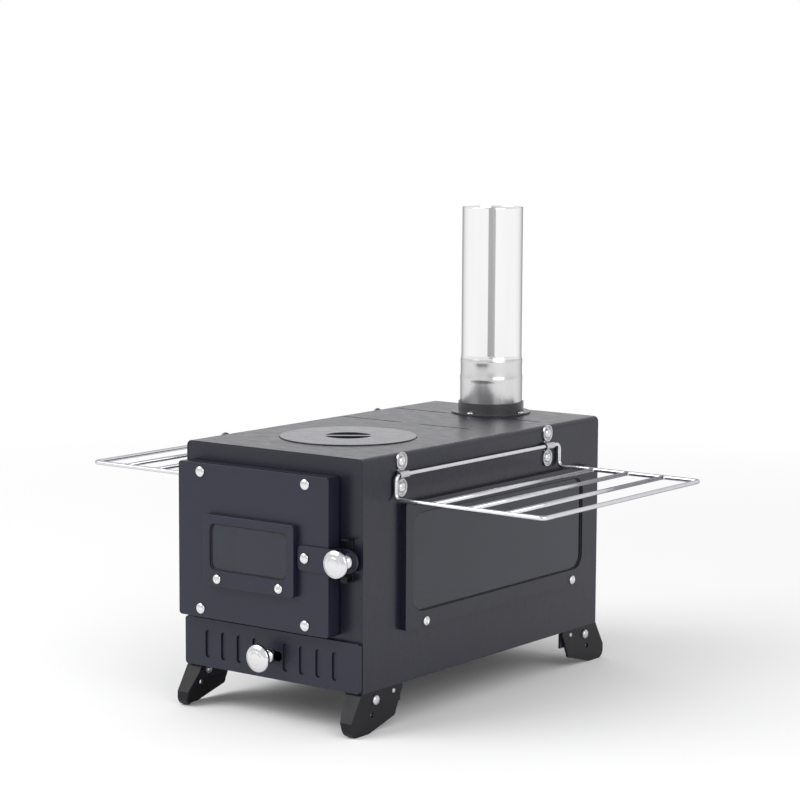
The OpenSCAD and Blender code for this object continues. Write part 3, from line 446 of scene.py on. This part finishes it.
def outer_rim(node, side):
    """Picks the outer edges of a side frame's outward face"""
    low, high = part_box(node)

    def chosen(edge):
        first, second = faces_of(edge)
        spot = (edge.verts[0].co + edge.verts[1].co) / 2
        outward = high.x - spot.x if side > 0 else spot.x - low.x
        at_rim = min(spot.y - low.y, high.y - spot.y, spot.z - low.z, high.z - spot.z) < RIM_REACH
        return outward < RIM_DEPTH and at_rim and max(first.x * side, second.x * side) > 0.9

    return chosen


def foot_bend(node):
    """Picks the bend between a foot's cheek and its web"""
    low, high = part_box(node)
    face_x = high.x if high.x > 0 else low.x
    end = 1.0 if high.y > 0 else -1.0

    def chosen(edge):
        first, second = faces_of(edge)
        on_face = all(abs(v.co.x - face_x) < 1e-5 for v in edge.verts)
        beyond = all((v.co.y - MIDDLE_Y) * end > BEND_FROM for v in edge.verts)
        return on_face and beyond and max(first.y * end, second.y * end) > 0.15

    return chosen


# Nodes that keep their shape: how far their edges are rounded, in metres
EDGES = {
    "body_shell": 0.0004, "front_frame": 0.0004, "back_panel": 0.0005, "base_plate": 0.0005,
    "floor_plate": 0.0004, "fire_grate": 0.0005, "lid_seat_ring": 0.0004, "cooking_lid": 0.0005,
    "lid_grip_cup": 0.0003, "flue_collar": 0.0005, "ash_tray": 0.0003, "ash_tray_sides": 0.0003,
    "ash_tray_end": 0.0003, "air_slide": 0.0002, "air_slide_guides": 0.0002, "door_liner": 0.0003,
    "door_knuckles": 0.0003, "body_knuckles": 0.0003, "hinge_pins": 0.0003, "foot_brackets": 0.0004,
    "foot_pins": 0.0006,
}


def dress_nodes():
    """Every node gets its record's finish, and most are replaced by a copy with rounded edges"""
    for node, obj in NODES.items():
        obj.data.materials.clear()
        obj.data.materials.append(MATERIALS[SLOT[node]])
    for node, width in EDGES.items():
        soft_copy(node, width)
    soft_copy("door_pan", 0.0003, 0.0022, front_rim("door_pan"), segments=4)
    soft_copy("drawer_front", 0.0003, 0.0011, front_rim("drawer_front"))
    soft_copy("door_window_frame", 0.0004, 0.001, front_rim("door_window_frame"))
    soft_copy("door_rope", 0.0014, segments=4)
    soft_copy("latch_strap", 0.0005, slot="door_paint")
    soft_copy("latch_catch", 0.0004, slot="foot_paint")
    for side, word in SIDES:
        node = "side_window_frame_" + word
        soft_copy(node, 0.0004, 0.001, outer_rim(node, side))
    for node in ("foot_front_right", "foot_front_left", "foot_rear_right", "foot_rear_left"):
        soft_copy(node, 0.0007, 0.0045, foot_bend(node), segments=5)


def closed_mesh(bm, name):
    bmesh.ops.remove_doubles(bm, verts=bm.verts, dist=1e-6)
    bmesh.ops.recalc_face_normals(bm, faces=bm.faces)
    mesh = bpy.data.meshes.new(name)
    bm.to_mesh(mesh)
    bm.free()
    return mesh


def turned(name, profile, steps):
    """A solid spun about Z from pairs of radius and height in millimetres"""
    bm = bmesh.new()
    verts = [bm.verts.new((radius * MM, 0.0, height * MM)) for radius, height in profile]
    edges = [bm.edges.new(pair) for pair in zip(verts, verts[1:])]
    bmesh.ops.spin(bm, geom=verts + edges, cent=(0.0, 0.0, 0.0), axis=(0.0, 0.0, 1.0),
                   angle=math.tau, steps=steps, use_merge=True)
    return closed_mesh(bm, name)


def copies(name, part, places):
    """The same part at each place, in one mesh"""
    bm = bmesh.new()
    for place in places:
        count = len(bm.verts)
        bm.from_mesh(part)
        bm.verts.ensure_lookup_table()
        bmesh.ops.transform(bm, matrix=place, verts=bm.verts[count:])
    mesh = bpy.data.meshes.new(name)
    bm.to_mesh(mesh)
    bm.free()
    return mesh


def facing(place, direction, spin=0.0):
    """Stands a part that points along +Z at a place, pointing in a direction"""
    turn = Vector(direction).to_track_quat("Z", "Y").to_matrix().to_4x4()
    return Matrix.Translation(place) @ turn @ Matrix.Rotation(spin, 4, "Z")


def carved(name, mesh, cutter):
    """The mesh with the cutter taken out of it"""
    body = bpy.data.objects.new(name, mesh)
    tool = bpy.data.objects.new(name + "_cutter", cutter)
    for made in (body, tool):
        bpy.context.scene.collection.objects.link(made)
    cut = body.modifiers.new("cut", "BOOLEAN")
    cut.operation = "DIFFERENCE"
    cut.solver = "EXACT"
    cut.object = tool
    graph = bpy.context.evaluated_depsgraph_get()
    result = bpy.data.meshes.new_from_object(body.evaluated_get(graph))
    bpy.data.objects.remove(body)
    bpy.data.objects.remove(tool)
    return result


# Screws, rivets and bolts, in millimetres

HEAD_STEPS = 40


def dome_profile(radius, height, edge, shank, tail):
    """Half profile of a domed head with a small upright edge, and of its shank below"""
    points = [(0.0, -tail), (shank, -tail), (shank, 0.0),
              (radius - 0.1, 0.0), (radius, 0.12), (radius, edge)]
    for i in range(1, 9):
        angle = math.pi / 2 * i / 8
        points.append((radius * math.cos(angle), edge + (height - edge) * math.sin(angle)))
    points[-1] = (0.0, height)
    return points


def driver_bar(length, depth, top, turn):
    """One bar of a cross driver's point, which tapers as it goes down"""
    width = length * 0.26
    clearance = 0.6
    bm = bmesh.new()
    for vert in bmesh.ops.create_cube(bm, size=1.0)["verts"]:
        lower = vert.co.z < 0
        vert.co.x *= length * MM * (0.5 if lower else 1.0)
        vert.co.y *= width * MM
        vert.co.z = (top - depth) * MM if lower else (top + clearance) * MM
    bmesh.ops.rotate(bm, cent=(0.0, 0.0, 0.0), matrix=Matrix.Rotation(turn, 3, "Z"), verts=bm.verts)
    mesh = bpy.data.meshes.new("driver_bar")
    bm.to_mesh(mesh)
    bm.free()
    return mesh


def cross_screw(name, radius, height, shank, tail):
    """A domed screw with a cross recess"""
    head = turned(name, dome_profile(radius, height, 0.5, shank, tail), HEAD_STEPS)
    for turn in (0.0, math.pi / 2):
        bar = driver_bar(length=radius * 1.15, depth=1.5, top=height, turn=turn)
        head = carved(name, head, bar)
    return head


def head_middles(node, radius):
    """Where the heads at the ends of a node's box have their middles, along X, Y and Z"""
    low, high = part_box(node)
    return [(low[i] + radius * MM, high[i] - radius * MM) for i in range(3)]


def make_door_rivets():
    node = "door_rivets"
    shape = dome_profile(radius=4.8, height=2.4, edge=0.5, shank=2.0, tail=6.0)
    rivet = turned("door_rivet", shape, HEAD_STEPS)
    across, _, up = head_middles(node, 4.25)
    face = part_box("door_pan")[0].y
    places = [facing(Vector((x, face, z)), FRONT) for x in across for z in up]
    add_piece(node + "_domed", copies(node + "_mesh", rivet, places), node)


def make_window_screws():
    screw = cross_screw("window_screw", radius=4.3, height=2.5, shank=1.9, tail=4.0)
    head = 4.0
    node = "door_window_screws"
    across, _, _ = head_middles(node, head)
    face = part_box("door_window_frame")[0].y
    level = middle(node).z
    places = [facing(Vector((x, face, level)), FRONT, turn) for x, turn in zip(across, (0.4, 1.1))]
    add_piece(node + "_cross", copies(node + "_mesh", screw, places), node)
    for side, word in SIDES:
        node = "side_window_screws_" + word
        _, along, _ = head_middles(node, head)
        frame_low, frame_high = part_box("side_window_frame_" + word)
        face = frame_high.x if side > 0 else frame_low.x
        level = middle(node).z
        places = [facing(Vector((face, y, level)), (side, 0.0, 0.0), turn)
                  for y, turn in zip(along, (0.2, 0.9))]
        add_piece(node + "_cross", copies(node + "_mesh", screw, places), node)


def make_collar_screws():
    node = "collar_screws"
    screw = cross_screw("collar_screw", radius=3.4, height=1.9, shank=1.4, tail=4.0)
    centre = middle(node)
    low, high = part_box(node)
    head = 2.5
    ring = (high.x - low.x) / 2 - head * MM
    flange = 1.5
    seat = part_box("flue_collar")[0].z + flange * MM
    places = []
    for angle in (0.0, math.pi / 2, math.pi, math.pi * 1.5):
        spot = Vector((centre.x + ring * math.cos(angle), centre.y + ring * math.sin(angle), seat))
        places.append(facing(spot, UP, angle + 0.5))
    add_piece(node + "_cross", copies(node + "_mesh", screw, places), node)


def make_latch_rivet():
    node = "latch_rivet"
    height = 2.3
    shape = dome_profile(radius=4.7, height=height, edge=0.5, shank=2.4, tail=5.4)
    rivet = turned("latch_rivet_part", shape, HEAD_STEPS)
    spot = middle(node)
    spot.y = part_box(node)[0].y + height * MM
    add_piece(node + "_domed", copies(node + "_mesh", rivet, [facing(spot, FRONT)]), node)


def make_saddle_rivets():
    shape = dome_profile(radius=4.5, height=3.1, edge=0.6, shank=1.5, tail=3.0)
    rivet = turned("saddle_rivet", shape, 36)
    seat = 0.6
    face = HALF_W + seat * MM
    for side, word in SIDES:
        node = "clip_rivets_" + word
        _, along, up = head_middles(node, 3.2)
        places = [facing(Vector((side * face, y, z)), (side, 0.0, 0.0)) for y in along for z in up]
        add_piece(node + "_domed", copies(node + "_mesh", rivet, places), node)


def foot_nut():
    """A six-sided nut on the bolt's shank, behind the sheets that it holds"""
    radius = 4.4 * MM
    height = 3.6 * MM
    down = -6.6 * MM
    bm = bmesh.new()
    bmesh.ops.create_cone(bm, cap_ends=True, segments=6, radius1=radius, radius2=radius,
                          depth=height, matrix=Matrix.Translation((0.0, 0.0, down)))
    bmesh.ops.bevel(bm, geom=list(bm.edges), offset=0.3 * MM, affect="EDGES", segments=2,
                    profile=0.5, material=-1)
    nut = bpy.data.meshes.new("foot_nut")
    bm.to_mesh(nut)
    bm.free()
    return nut


def make_foot_bolts():
    node = "foot_bolts"
    shape = dome_profile(radius=4.4, height=3.0, edge=0.6, shank=2.45, tail=9.3)
    bolt = turned("foot_bolt_part", shape, HEAD_STEPS)
    _, along, _ = head_middles(node, 4.5)
    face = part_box("foot_rear_right")[1].x
    level = middle(node).z
    places = [facing(Vector((side * face, y, level)), (side, 0.0, 0.0), 0.3)
              for side, _ in SIDES for y in along]
    add_piece("foot_bolts_and_nuts", copies("foot_bolts_mesh", bolt, places), node)
    mesh = copies("foot_nuts_mesh", foot_nut(), places)
    mesh.materials.append(MATERIALS["zinc_steel"])
    nuts = bpy.data.objects.new("foot_nuts", mesh)
    bpy.context.scene.collection.objects.link(nuts)
    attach(nuts, BODY[node])


# Knobs: turned from bar, with a neck, a collar and a domed face, as radius and height in millimetres

KNOB = [(0.0, 0.0), (6.2, 0.0), (6.6, 0.4), (6.75, 1.4), (6.7, 3.0), (6.3, 4.3), (5.5, 5.3), (4.6, 6.0),
        (4.15, 7.0), (4.1, 9.0), (4.5, 10.2), (5.6, 11.1), (7.6, 11.9), (9.8, 12.6), (11.3, 13.5),
        (12.1, 14.7), (12.3, 15.9), (12.15, 17.0), (11.6, 17.8), (10.9, 18.2), (10.35, 18.25),
        (10.1, 18.5), (9.2, 18.95), (7.6, 19.35), (6.5, 19.5), (6.2, 19.5), (6.0, 19.68),
        (4.4, 19.86), (2.2, 19.97), (0.0, 20.0)]
KNOB_LENGTH = KNOB[-1][1]


def make_knob(node, name):
    low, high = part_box(node)
    seat = Vector(((low.x + high.x) / 2, low.y + KNOB_LENGTH * MM, (low.z + high.z) / 2))
    part = turned(name, KNOB, 72)
    add_piece(name, copies(name + "_mesh", part, [facing(seat, FRONT)]), node)


# Racks: wire bent as on a bench, with welded bars

WIRE = 2.0 * MM
WIRE_SIDES = 12
RACK_BEND = 5.0 * MM
RACK_BARS = 3


def ring_at(bm, centre, direction):
    turn = direction.to_track_quat("Z", "Y").to_matrix().to_4x4()
    made = bmesh.ops.create_circle(bm, cap_ends=False, segments=WIRE_SIDES, radius=WIRE,
                                   matrix=Matrix.Translation(centre) @ turn)
    verts = made["verts"]
    return verts, list({e for v in verts for e in v.link_edges})


def draw_straight(bm, ring, step):
    made = bmesh.ops.extrude_edge_only(bm, edges=ring[1])["geom"]
    verts = [g for g in made if isinstance(g, bmesh.types.BMVert)]
    chosen = set(verts)
    edges = [g for g in made if isinstance(g, bmesh.types.BMEdge) and set(g.verts) <= chosen]
    bmesh.ops.translate(bm, vec=step, verts=verts)
    return verts, edges


def draw_bend(bm, ring, centre, axis, angle, steps):
    made = bmesh.ops.spin(bm, geom=ring[0] + ring[1], cent=centre, axis=axis, angle=angle, steps=steps,
                          use_merge=False, use_duplicate=False)["geom_last"]
    verts = [g for g in made if isinstance(g, bmesh.types.BMVert)]
    chosen = set(verts)
    edges = [g for g in made if isinstance(g, bmesh.types.BMEdge) and set(g.verts) <= chosen]
    return verts, edges


def bent_wire(bm, corners):
    """A closed wire through the corners, with round bends"""
    count = len(corners)
    heading = (corners[1] - corners[0]).normalized()
    ring = ring_at(bm, corners[0] + heading * RACK_BEND, heading)
    for i in range(count):
        here, there, beyond = corners[i], corners[(i + 1) % count], corners[(i + 2) % count]
        heading = (there - here).normalized()
        after = (beyond - there).normalized()
        ring = draw_straight(bm, ring, heading * ((there - here).length - 2 * RACK_BEND))
        centre = there - heading * RACK_BEND + after * RACK_BEND
        ring = draw_bend(bm, ring, centre, heading.cross(after), math.pi / 2, 6)


def weld_bead(bm, x, y, z):
    bead = bmesh.ops.create_uvsphere(bm, u_segments=10, v_segments=6, radius=WIRE * 1.12)["verts"]
    bmesh.ops.scale(bm, vec=(1.25, 1.0, 0.96), verts=bead)
    bmesh.ops.translate(bm, vec=(x, y, z), verts=bead)


def make_rack(side, node):
    low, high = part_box(node)
    inner, outer = (low.x + WIRE, high.x - WIRE) if side > 0 else (high.x - WIRE, low.x + WIRE)
    front, rear, floor, top = low.y + WIRE, high.y - WIRE, low.z + WIRE, high.z - WIRE
    corners = [Vector(c) for c in (
        (inner, front, top), (inner, rear, top), (inner, rear, floor),
        (outer, rear, floor), (outer, front, floor), (inner, front, floor))]
    bm = bmesh.new()
    bent_wire(bm, corners)
    bmesh.ops.remove_doubles(bm, verts=bm.verts, dist=5e-6)
    weld_in = 1.6 * MM
    for i in range(1, RACK_BARS + 1):
        x = inner + (outer - inner) * i / (RACK_BARS + 1)
        along = Matrix.Translation((x, (front + rear) / 2, floor)) @ Matrix.Rotation(math.pi / 2, 4, "X")
        bmesh.ops.create_cone(bm, cap_ends=True, segments=WIRE_SIDES, radius1=WIRE, radius2=WIRE,
                              depth=rear - front, matrix=along)
        for y in (front + weld_in, rear - weld_in):
            weld_bead(bm, x, y, floor)
    bmesh.ops.recalc_face_normals(bm, faces=bm.faces)
    mesh = bpy.data.meshes.new(node + "_mesh")
    bm.to_mesh(mesh)
    bm.free()
    add_piece(node + "_wires", mesh, node)


# Saddles that hold the racks' hinge rods

# In millimetres: half the width of a dish, and how far its ends are from the rod's height
SADDLE_HALF = 7.2
SADDLE_REACH = 19.2
SADDLE_WAIST = 3.6
# Half the width of a saddle's solid, which is how far its middle lies inside the node's box
SADDLE_SOLID_HALF = 6.5
# A dish's height off the wall, the width of its rim, and the slope and depth inside the rim
DISH_HEIGHT = 1.7
DISH_RIM = 1.2
DISH_SLOPE = 0.4
DISH_DEPTH = 1.1
# The flat piece behind the rod, and the band over the rod
WAIST_SIZE = 9.6
WAIST_SHEET = 0.5
BAND_RADIUS = 3.3
BAND_HALF = 6.3
BAND_SHEET = 0.9
# The rounding of the dishes' edges
SADDLE_EDGE = 0.22


def saddle_dish(bm, side, y, low, high):
    """One pressed dish of a saddle, with a raised rim round the rivet's seat"""
    straight = (high - low) / 2 - SADDLE_HALF * MM
    disc = bmesh.ops.create_circle(bm, cap_ends=True, segments=40, radius=SADDLE_HALF * MM)["verts"]
    for vert in disc:
        vert.co.y += straight * (1.0 if vert.co.y >= 0 else -1.0)
    turn = Matrix.Rotation(math.pi / 2, 4, "Z") @ Matrix.Rotation(math.pi / 2, 4, "X")
    place = Matrix.Translation((side * HALF_W, y, (low + high) / 2)) @ turn
    bmesh.ops.transform(bm, matrix=place, verts=disc)
    chosen = set(disc)
    sheet = [f for f in bm.faces if all(v in chosen for v in f.verts)]
    made = bmesh.ops.extrude_face_region(bm, geom=sheet)["geom"]
    top = [g for g in made if isinstance(g, bmesh.types.BMFace)]
    bmesh.ops.translate(bm, vec=(side * DISH_HEIGHT * MM, 0.0, 0.0),
                        verts=[g for g in made if isinstance(g, bmesh.types.BMVert)])
    bmesh.ops.recalc_face_normals(bm, faces=bm.faces)
    bmesh.ops.inset_region(bm, faces=top, thickness=DISH_RIM * MM, depth=0.0)
    bmesh.ops.inset_region(bm, faces=top, thickness=DISH_SLOPE * MM, depth=-DISH_DEPTH * MM)


def saddle_bridge(bm, side, y, rod_x, rod_z):
    """The band over the rod: an edge spun half round it, with both legs drawn to the wall"""
    radius = BAND_RADIUS * MM
    ends = [bm.verts.new((side * rod_x, y + e * BAND_HALF * MM, rod_z - radius)) for e in (-1.0, 1.0)]
    first = bm.edges.new(ends)
    made = bmesh.ops.spin(bm, geom=ends + [first], cent=(side * rod_x, y, rod_z), axis=(0.0, 1.0, 0.0),
                          angle=-math.pi * side, steps=14)["geom_last"]
    last = [g for g in made if isinstance(g, bmesh.types.BMEdge)]
    legs = bmesh.ops.extrude_edge_only(bm, edges=[first] + last)["geom"]
    bmesh.ops.translate(bm, vec=(side * (HALF_W - rod_x), 0.0, 0.0),
                        verts=[g for g in legs if isinstance(g, bmesh.types.BMVert)])


def make_saddles(side, word):
    node = "rack_clips_" + word
    low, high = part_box(node)
    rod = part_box("rack_" + word)
    rod_z = rod[1].z - WIRE
    rod_x = abs(rod[0].x if side > 0 else rod[1].x) + WIRE
    spots = (low.y + SADDLE_SOLID_HALF * MM, high.y - SADDLE_SOLID_HALF * MM)
    bm = bmesh.new()
    for y in spots:
        saddle_dish(bm, side, y, rod_z + SADDLE_WAIST * MM, rod_z + SADDLE_REACH * MM)
        saddle_dish(bm, side, y, rod_z - SADDLE_REACH * MM, rod_z - SADDLE_WAIST * MM)
        waist = bmesh.ops.create_cube(bm, size=1.0)["verts"]
        bmesh.ops.scale(bm, vec=(WAIST_SHEET * MM, WAIST_SIZE * MM, WAIST_SIZE * MM), verts=waist)
        bmesh.ops.translate(bm, vec=(side * (HALF_W + WAIST_SHEET / 2 * MM), y, rod_z), verts=waist)
    bmesh.ops.recalc_face_normals(bm, faces=bm.faces)
    sharp = 0.7
    edges = [e for e in bm.edges if len(e.link_faces) == 2 and e.calc_face_angle() > sharp]
    bmesh.ops.bevel(bm, geom=edges, offset=SADDLE_EDGE * MM, affect="EDGES", segments=2, profile=0.5,
                    material=-1)
    plates = bpy.data.meshes.new(node + "_plates")
    bm.to_mesh(plates)
    bm.free()
    bm = bmesh.new()
    for y in spots:
        saddle_bridge(bm, side, y, rod_x, rod_z)
    bmesh.ops.recalc_face_normals(bm, faces=bm.faces)
    if sum(f.normal.x * side * f.calc_area() for f in bm.faces) < 0:
        bmesh.ops.reverse_faces(bm, faces=bm.faces)
    bmesh.ops.solidify(bm, geom=bm.faces[:], thickness=BAND_SHEET * MM)
    if bm.calc_volume(signed=True) < 0:
        bmesh.ops.reverse_faces(bm, faces=bm.faces)
    bm.from_mesh(plates)
    mesh = bpy.data.meshes.new(node + "_mesh")
    bm.to_mesh(mesh)
    bm.free()
    made = add_piece(node + "_pressed", mesh, node, "zinc_steel")
    even_normals(made)


# Chimney: rolled tube with a lock seam, two beads, a wider foot and a turned rim

# Radii in millimetres: the tube above its beads, and one that parts its outside from its inside
TUBE = 28.85
SKIN = 28.7
# The lower bead's height over the top of the stove, and the upper bead's over the lower one
BEAD_RISE = 33.8
BEAD_GAP = 17.0
# Where the seam starts over the upper bead
SEAM_RISE = 7.0
# Half widths of the seam, of its flat back and of its darker steel, which is a painted dark reflection
SEAM_HALF = 3.6
SEAM_FLAT = 3.0
SEAM_PAINTED_REFLECTION_HALF = 3.4
# The seam's place round the pipe, and so the place of its painted dark reflection: turned to face the
# camera, at the front right, a little to the left of the view's middle
SEAM_ANGLE = -math.pi / 2 + AZIMUTH - 0.04


def pipe_profile(height, bead_low, bead_high):
    """Closed half section of the tube, outside and inside, as pairs of radius and height"""
    return [
        (29.05, 0.0), (29.65, 0.0), (29.75, 0.5), (29.75, bead_low - 4.0), (29.78, bead_low - 2.6),
        (29.95, bead_low - 1.2), (30.0, bead_low), (29.92, bead_low + 1.0), (29.6, bead_low + 2.2),
        (29.45, bead_low + 3.4), (29.42, bead_high - 5.0), (29.5, bead_high - 3.2),
        (29.62, bead_high - 1.6), (29.66, bead_high - 0.2), (29.55, bead_high + 1.0),
        (29.2, bead_high + 2.4), (28.95, bead_high + 3.6), (TUBE, bead_high + 5.4),
        (TUBE, height - 2.6), (28.92, height - 1.4), (29.0, height - 0.5), (28.9, height),
        (28.6, height), (28.45, height - 0.5), (28.4, height - 2.6), (28.4, bead_high + 5.4),
        (28.9, bead_high + 1.0), (29.05, bead_low)]


def seam_distance(spot):
    """How far a place on the pipe is from the seam's middle, round the tube"""
    return abs(math.atan2(spot.y, spot.x) - SEAM_ANGLE) * TUBE


def raise_seam(bm, seam_low, height):
    for vert in bm.verts:
        across = seam_distance(vert.co)
        radius = math.hypot(vert.co.x, vert.co.y)
        if across < SEAM_HALF and radius > SKIN * MM and seam_low < vert.co.z / MM < height:
            lift = 0.35 if across < SEAM_FLAT else 0.15
            vert.co.x *= (radius + lift * MM) / radius
            vert.co.y *= (radius + lift * MM) / radius


def dress_pipe(bm, mesh, seam_low, bead_high):
    """The pipe's three steels: its upper part, its seam with a painted dark reflection, and its lower part
    darkened as painted reflection
    """
    for steel in (MATERIALS["stainless_pipe"], SEAM_PAINTED_REFLECTION_STEEL, LOWER_PIPE_PAINTED_REFLECTION_STEEL):
        mesh.materials.append(steel)
    for face in bm.faces:
        spot = face.calc_center_median()
        outside = math.hypot(spot.x, spot.y) > SKIN * MM
        # The seam's darker steel is a painted dark reflection, laid along the raised seam where it faces
        # the camera
        if seam_distance(spot) < SEAM_PAINTED_REFLECTION_HALF and outside and spot.z / MM > seam_low + 1.0:
            face.material_index = 1
        # Below the upper bead the pipe gets darker steel: a painted dark reflection
        elif spot.z / MM < bead_high + 2.4:
            face.material_index = 2


def make_chimney():
    low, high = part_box("chimney_pipe")
    centre = middle("chimney_pipe")
    height = (high.z - low.z) / MM
    bead_low = (SHELL_HIGH.z - low.z) / MM + BEAD_RISE
    bead_high = bead_low + BEAD_GAP
    seam_low = bead_high + SEAM_RISE
    profile = pipe_profile(height, bead_low, bead_high)
    bm = bmesh.new()
    verts = [bm.verts.new((radius * MM, 0.0, up * MM)) for radius, up in profile]
    edges = [bm.edges.new((verts[i], verts[(i + 1) % len(verts)])) for i in range(len(verts))]
    bmesh.ops.spin(bm, geom=verts + edges, cent=(0.0, 0.0, 0.0), axis=(0.0, 0.0, 1.0),
                   angle=math.tau, steps=160, use_merge=True)
    bmesh.ops.remove_doubles(bm, verts=bm.verts, dist=1e-6)
    bmesh.ops.recalc_face_normals(bm, faces=bm.faces)
    raise_seam(bm, seam_low, height)
    mesh = bpy.data.meshes.new("chimney_mesh")
    dress_pipe(bm, mesh, seam_low, bead_high)
    bmesh.ops.translate(bm, vec=(centre.x, centre.y, low.z), verts=bm.verts)
    bm.to_mesh(mesh)
    bm.free()
    add_piece("chimney_tube", mesh, "chimney_pipe")


# Stage: pale floor, pale room and two soft lamps

def light(name, size, power, place, aim):
    data = bpy.data.lights.new(name, "AREA")
    data.shape = "RECTANGLE"
    data.size, data.size_y = size
    data.energy = power
    lamp = bpy.data.objects.new(name, data)
    bpy.context.scene.collection.objects.link(lamp)
    lamp.location = place
    lamp.rotation_euler = (Vector(aim) - Vector(place)).to_track_quat("-Z", "Y").to_euler()


def seen_outright(tree, path):
    """One where a camera, mirror or glass ray looks, and nought where light is gathered"""
    seen = math_node(tree, "MAXIMUM", path.outputs["Is Camera Ray"], path.outputs["Is Glossy Ray"])
    return math_node(tree, "MAXIMUM", seen, path.outputs["Is Transmission Ray"])


def mix_shaders(tree, factor, first, second, out):
    mix = tree.nodes.new("ShaderNodeMixShader")
    tree.links.new(factor, mix.inputs[0])
    tree.links.new(first.outputs[0], mix.inputs[1])
    tree.links.new(second.outputs[0], mix.inputs[2])
    tree.links.new(mix.outputs[0], out.inputs["Surface"])


def room_shade(tree, path):
    """How far the white room goes over to grey where metal and glass look: not at all straight behind
    the stove, a quarter of the way from its sides forward, and three quarters overhead and in a gap
    straight in front"""
    place = tree.nodes.new("ShaderNodeTexCoord")
    parts = tree.nodes.new("ShaderNodeSeparateXYZ")
    tree.links.new(place.outputs["Generated"], parts.inputs[0])
    ahead = math_node(tree, "ADD", math_node(tree, "MULTIPLY", parts.outputs["X"], math.sin(AZIMUTH)),
                      math_node(tree, "MULTIPLY", parts.outputs["Y"], -math.cos(AZIMUTH)))
    gap = remap(tree, ahead, 0.955, 0.975, 0.0, 0.75)
    side = remap(tree, ahead, -0.9, 0.1, 0.0, 0.25)
    up = remap(tree, parts.outputs["Z"], 0.45, 0.9, 0.0, 0.75)
    dim = math_node(tree, "MAXIMUM", math_node(tree, "MAXIMUM", gap, side, clamp=True), up, clamp=True)
    return math_node(tree, "MULTIPLY", dim, math_node(tree, "SUBTRACT", 1.0, path.outputs["Is Camera Ray"]))


def floor_material():
    """Pale floor that keeps the stove's shadow and goes over to plain white further out"""
    made = bpy.data.materials.new("floor_pale")
    made.use_nodes = True
    tree = made.node_tree
    shader = principled(tree)
    shader.inputs["Base Color"].default_value = (0.9, 0.9, 0.9, 1.0)
    shader.inputs["Roughness"].default_value = 0.9
    shader.inputs["Specular IOR Level"].default_value = 0.0
    out = next(n for n in tree.nodes if n.type == "OUTPUT_MATERIAL")
    place = tree.nodes.new("ShaderNodeTexCoord")
    length = tree.nodes.new("ShaderNodeVectorMath")
    length.operation = "LENGTH"
    tree.links.new(place.outputs["Object"], length.inputs[0])
    far = remap(tree, length.outputs["Value"], 0.55, 1.7, 0.0, 1.0)
    path = tree.nodes.new("ShaderNodeLightPath")
    seen = seen_outright(tree, path)
    white = tree.nodes.new("ShaderNodeEmission")
    white.inputs["Strength"].default_value = 1.0
    white.inputs["Color"].default_value = (1.0, 1.0, 1.0, 1.0)
    mix_shaders(tree, math_node(tree, "MULTIPLY", far, seen, clamp=True), shader, white, out)
    return made


def make_floor():
    bm = bmesh.new()
    bmesh.ops.create_grid(bm, x_segments=1, y_segments=1, size=8.0)
    mesh = bpy.data.meshes.new("floor_mesh")
    bm.to_mesh(mesh)
    bm.free()
    floor = bpy.data.objects.new("floor", mesh)
    bpy.context.scene.collection.objects.link(floor)
    mesh.materials.append(floor_material())


def make_room():
    """White room: plain white to the camera, shaded for metal and glass, and giving rather less light"""
    world = bpy.data.worlds.new("studio")
    bpy.context.scene.world = world
    world.use_nodes = True
    tree = world.node_tree
    tree.nodes.clear()
    out = tree.nodes.new("ShaderNodeOutputWorld")
    path = tree.nodes.new("ShaderNodeLightPath")
    seen = seen_outright(tree, path)
    shown = tree.nodes.new("ShaderNodeBackground")
    shown.inputs["Strength"].default_value = 1.0
    colour = mix_colour(tree, room_shade(tree, path), (1.0, 1.0, 1.0), (0.3, 0.3, 0.31))
    tree.links.new(colour, shown.inputs["Color"])
    lit = tree.nodes.new("ShaderNodeBackground")
    lit.inputs["Strength"].default_value = 0.78
    lit.inputs["Color"].default_value = (1.0, 1.0, 1.0, 1.0)
    mix_shaders(tree, seen, lit, shown, out)


def set_stage():
    make_floor()
    make_room()
    aim = (0.0, 0.0, 0.2)
    light("key", (2.2, 2.2), 48.0, (-1.4, -1.8, 2.2), aim)
    light("fill", (2.0, 2.0), 18.0, (2.2, -1.0, 1.4), aim)
    bpy.context.scene.view_settings.view_transform = "Standard"


place_camera()
dress_nodes()
make_door_rivets()
make_window_screws()
make_collar_screws()
make_latch_rivet()
make_saddle_rivets()
make_foot_bolts()
for side, word in SIDES:
    make_rack(side, "rack_" + word)
for side, word in SIDES:
    make_saddles(side, word)
make_chimney()
make_knob("drawer_knob", "drawer_knob_turned")
make_knob("latch_knob", "latch_knob_turned")
set_stage()
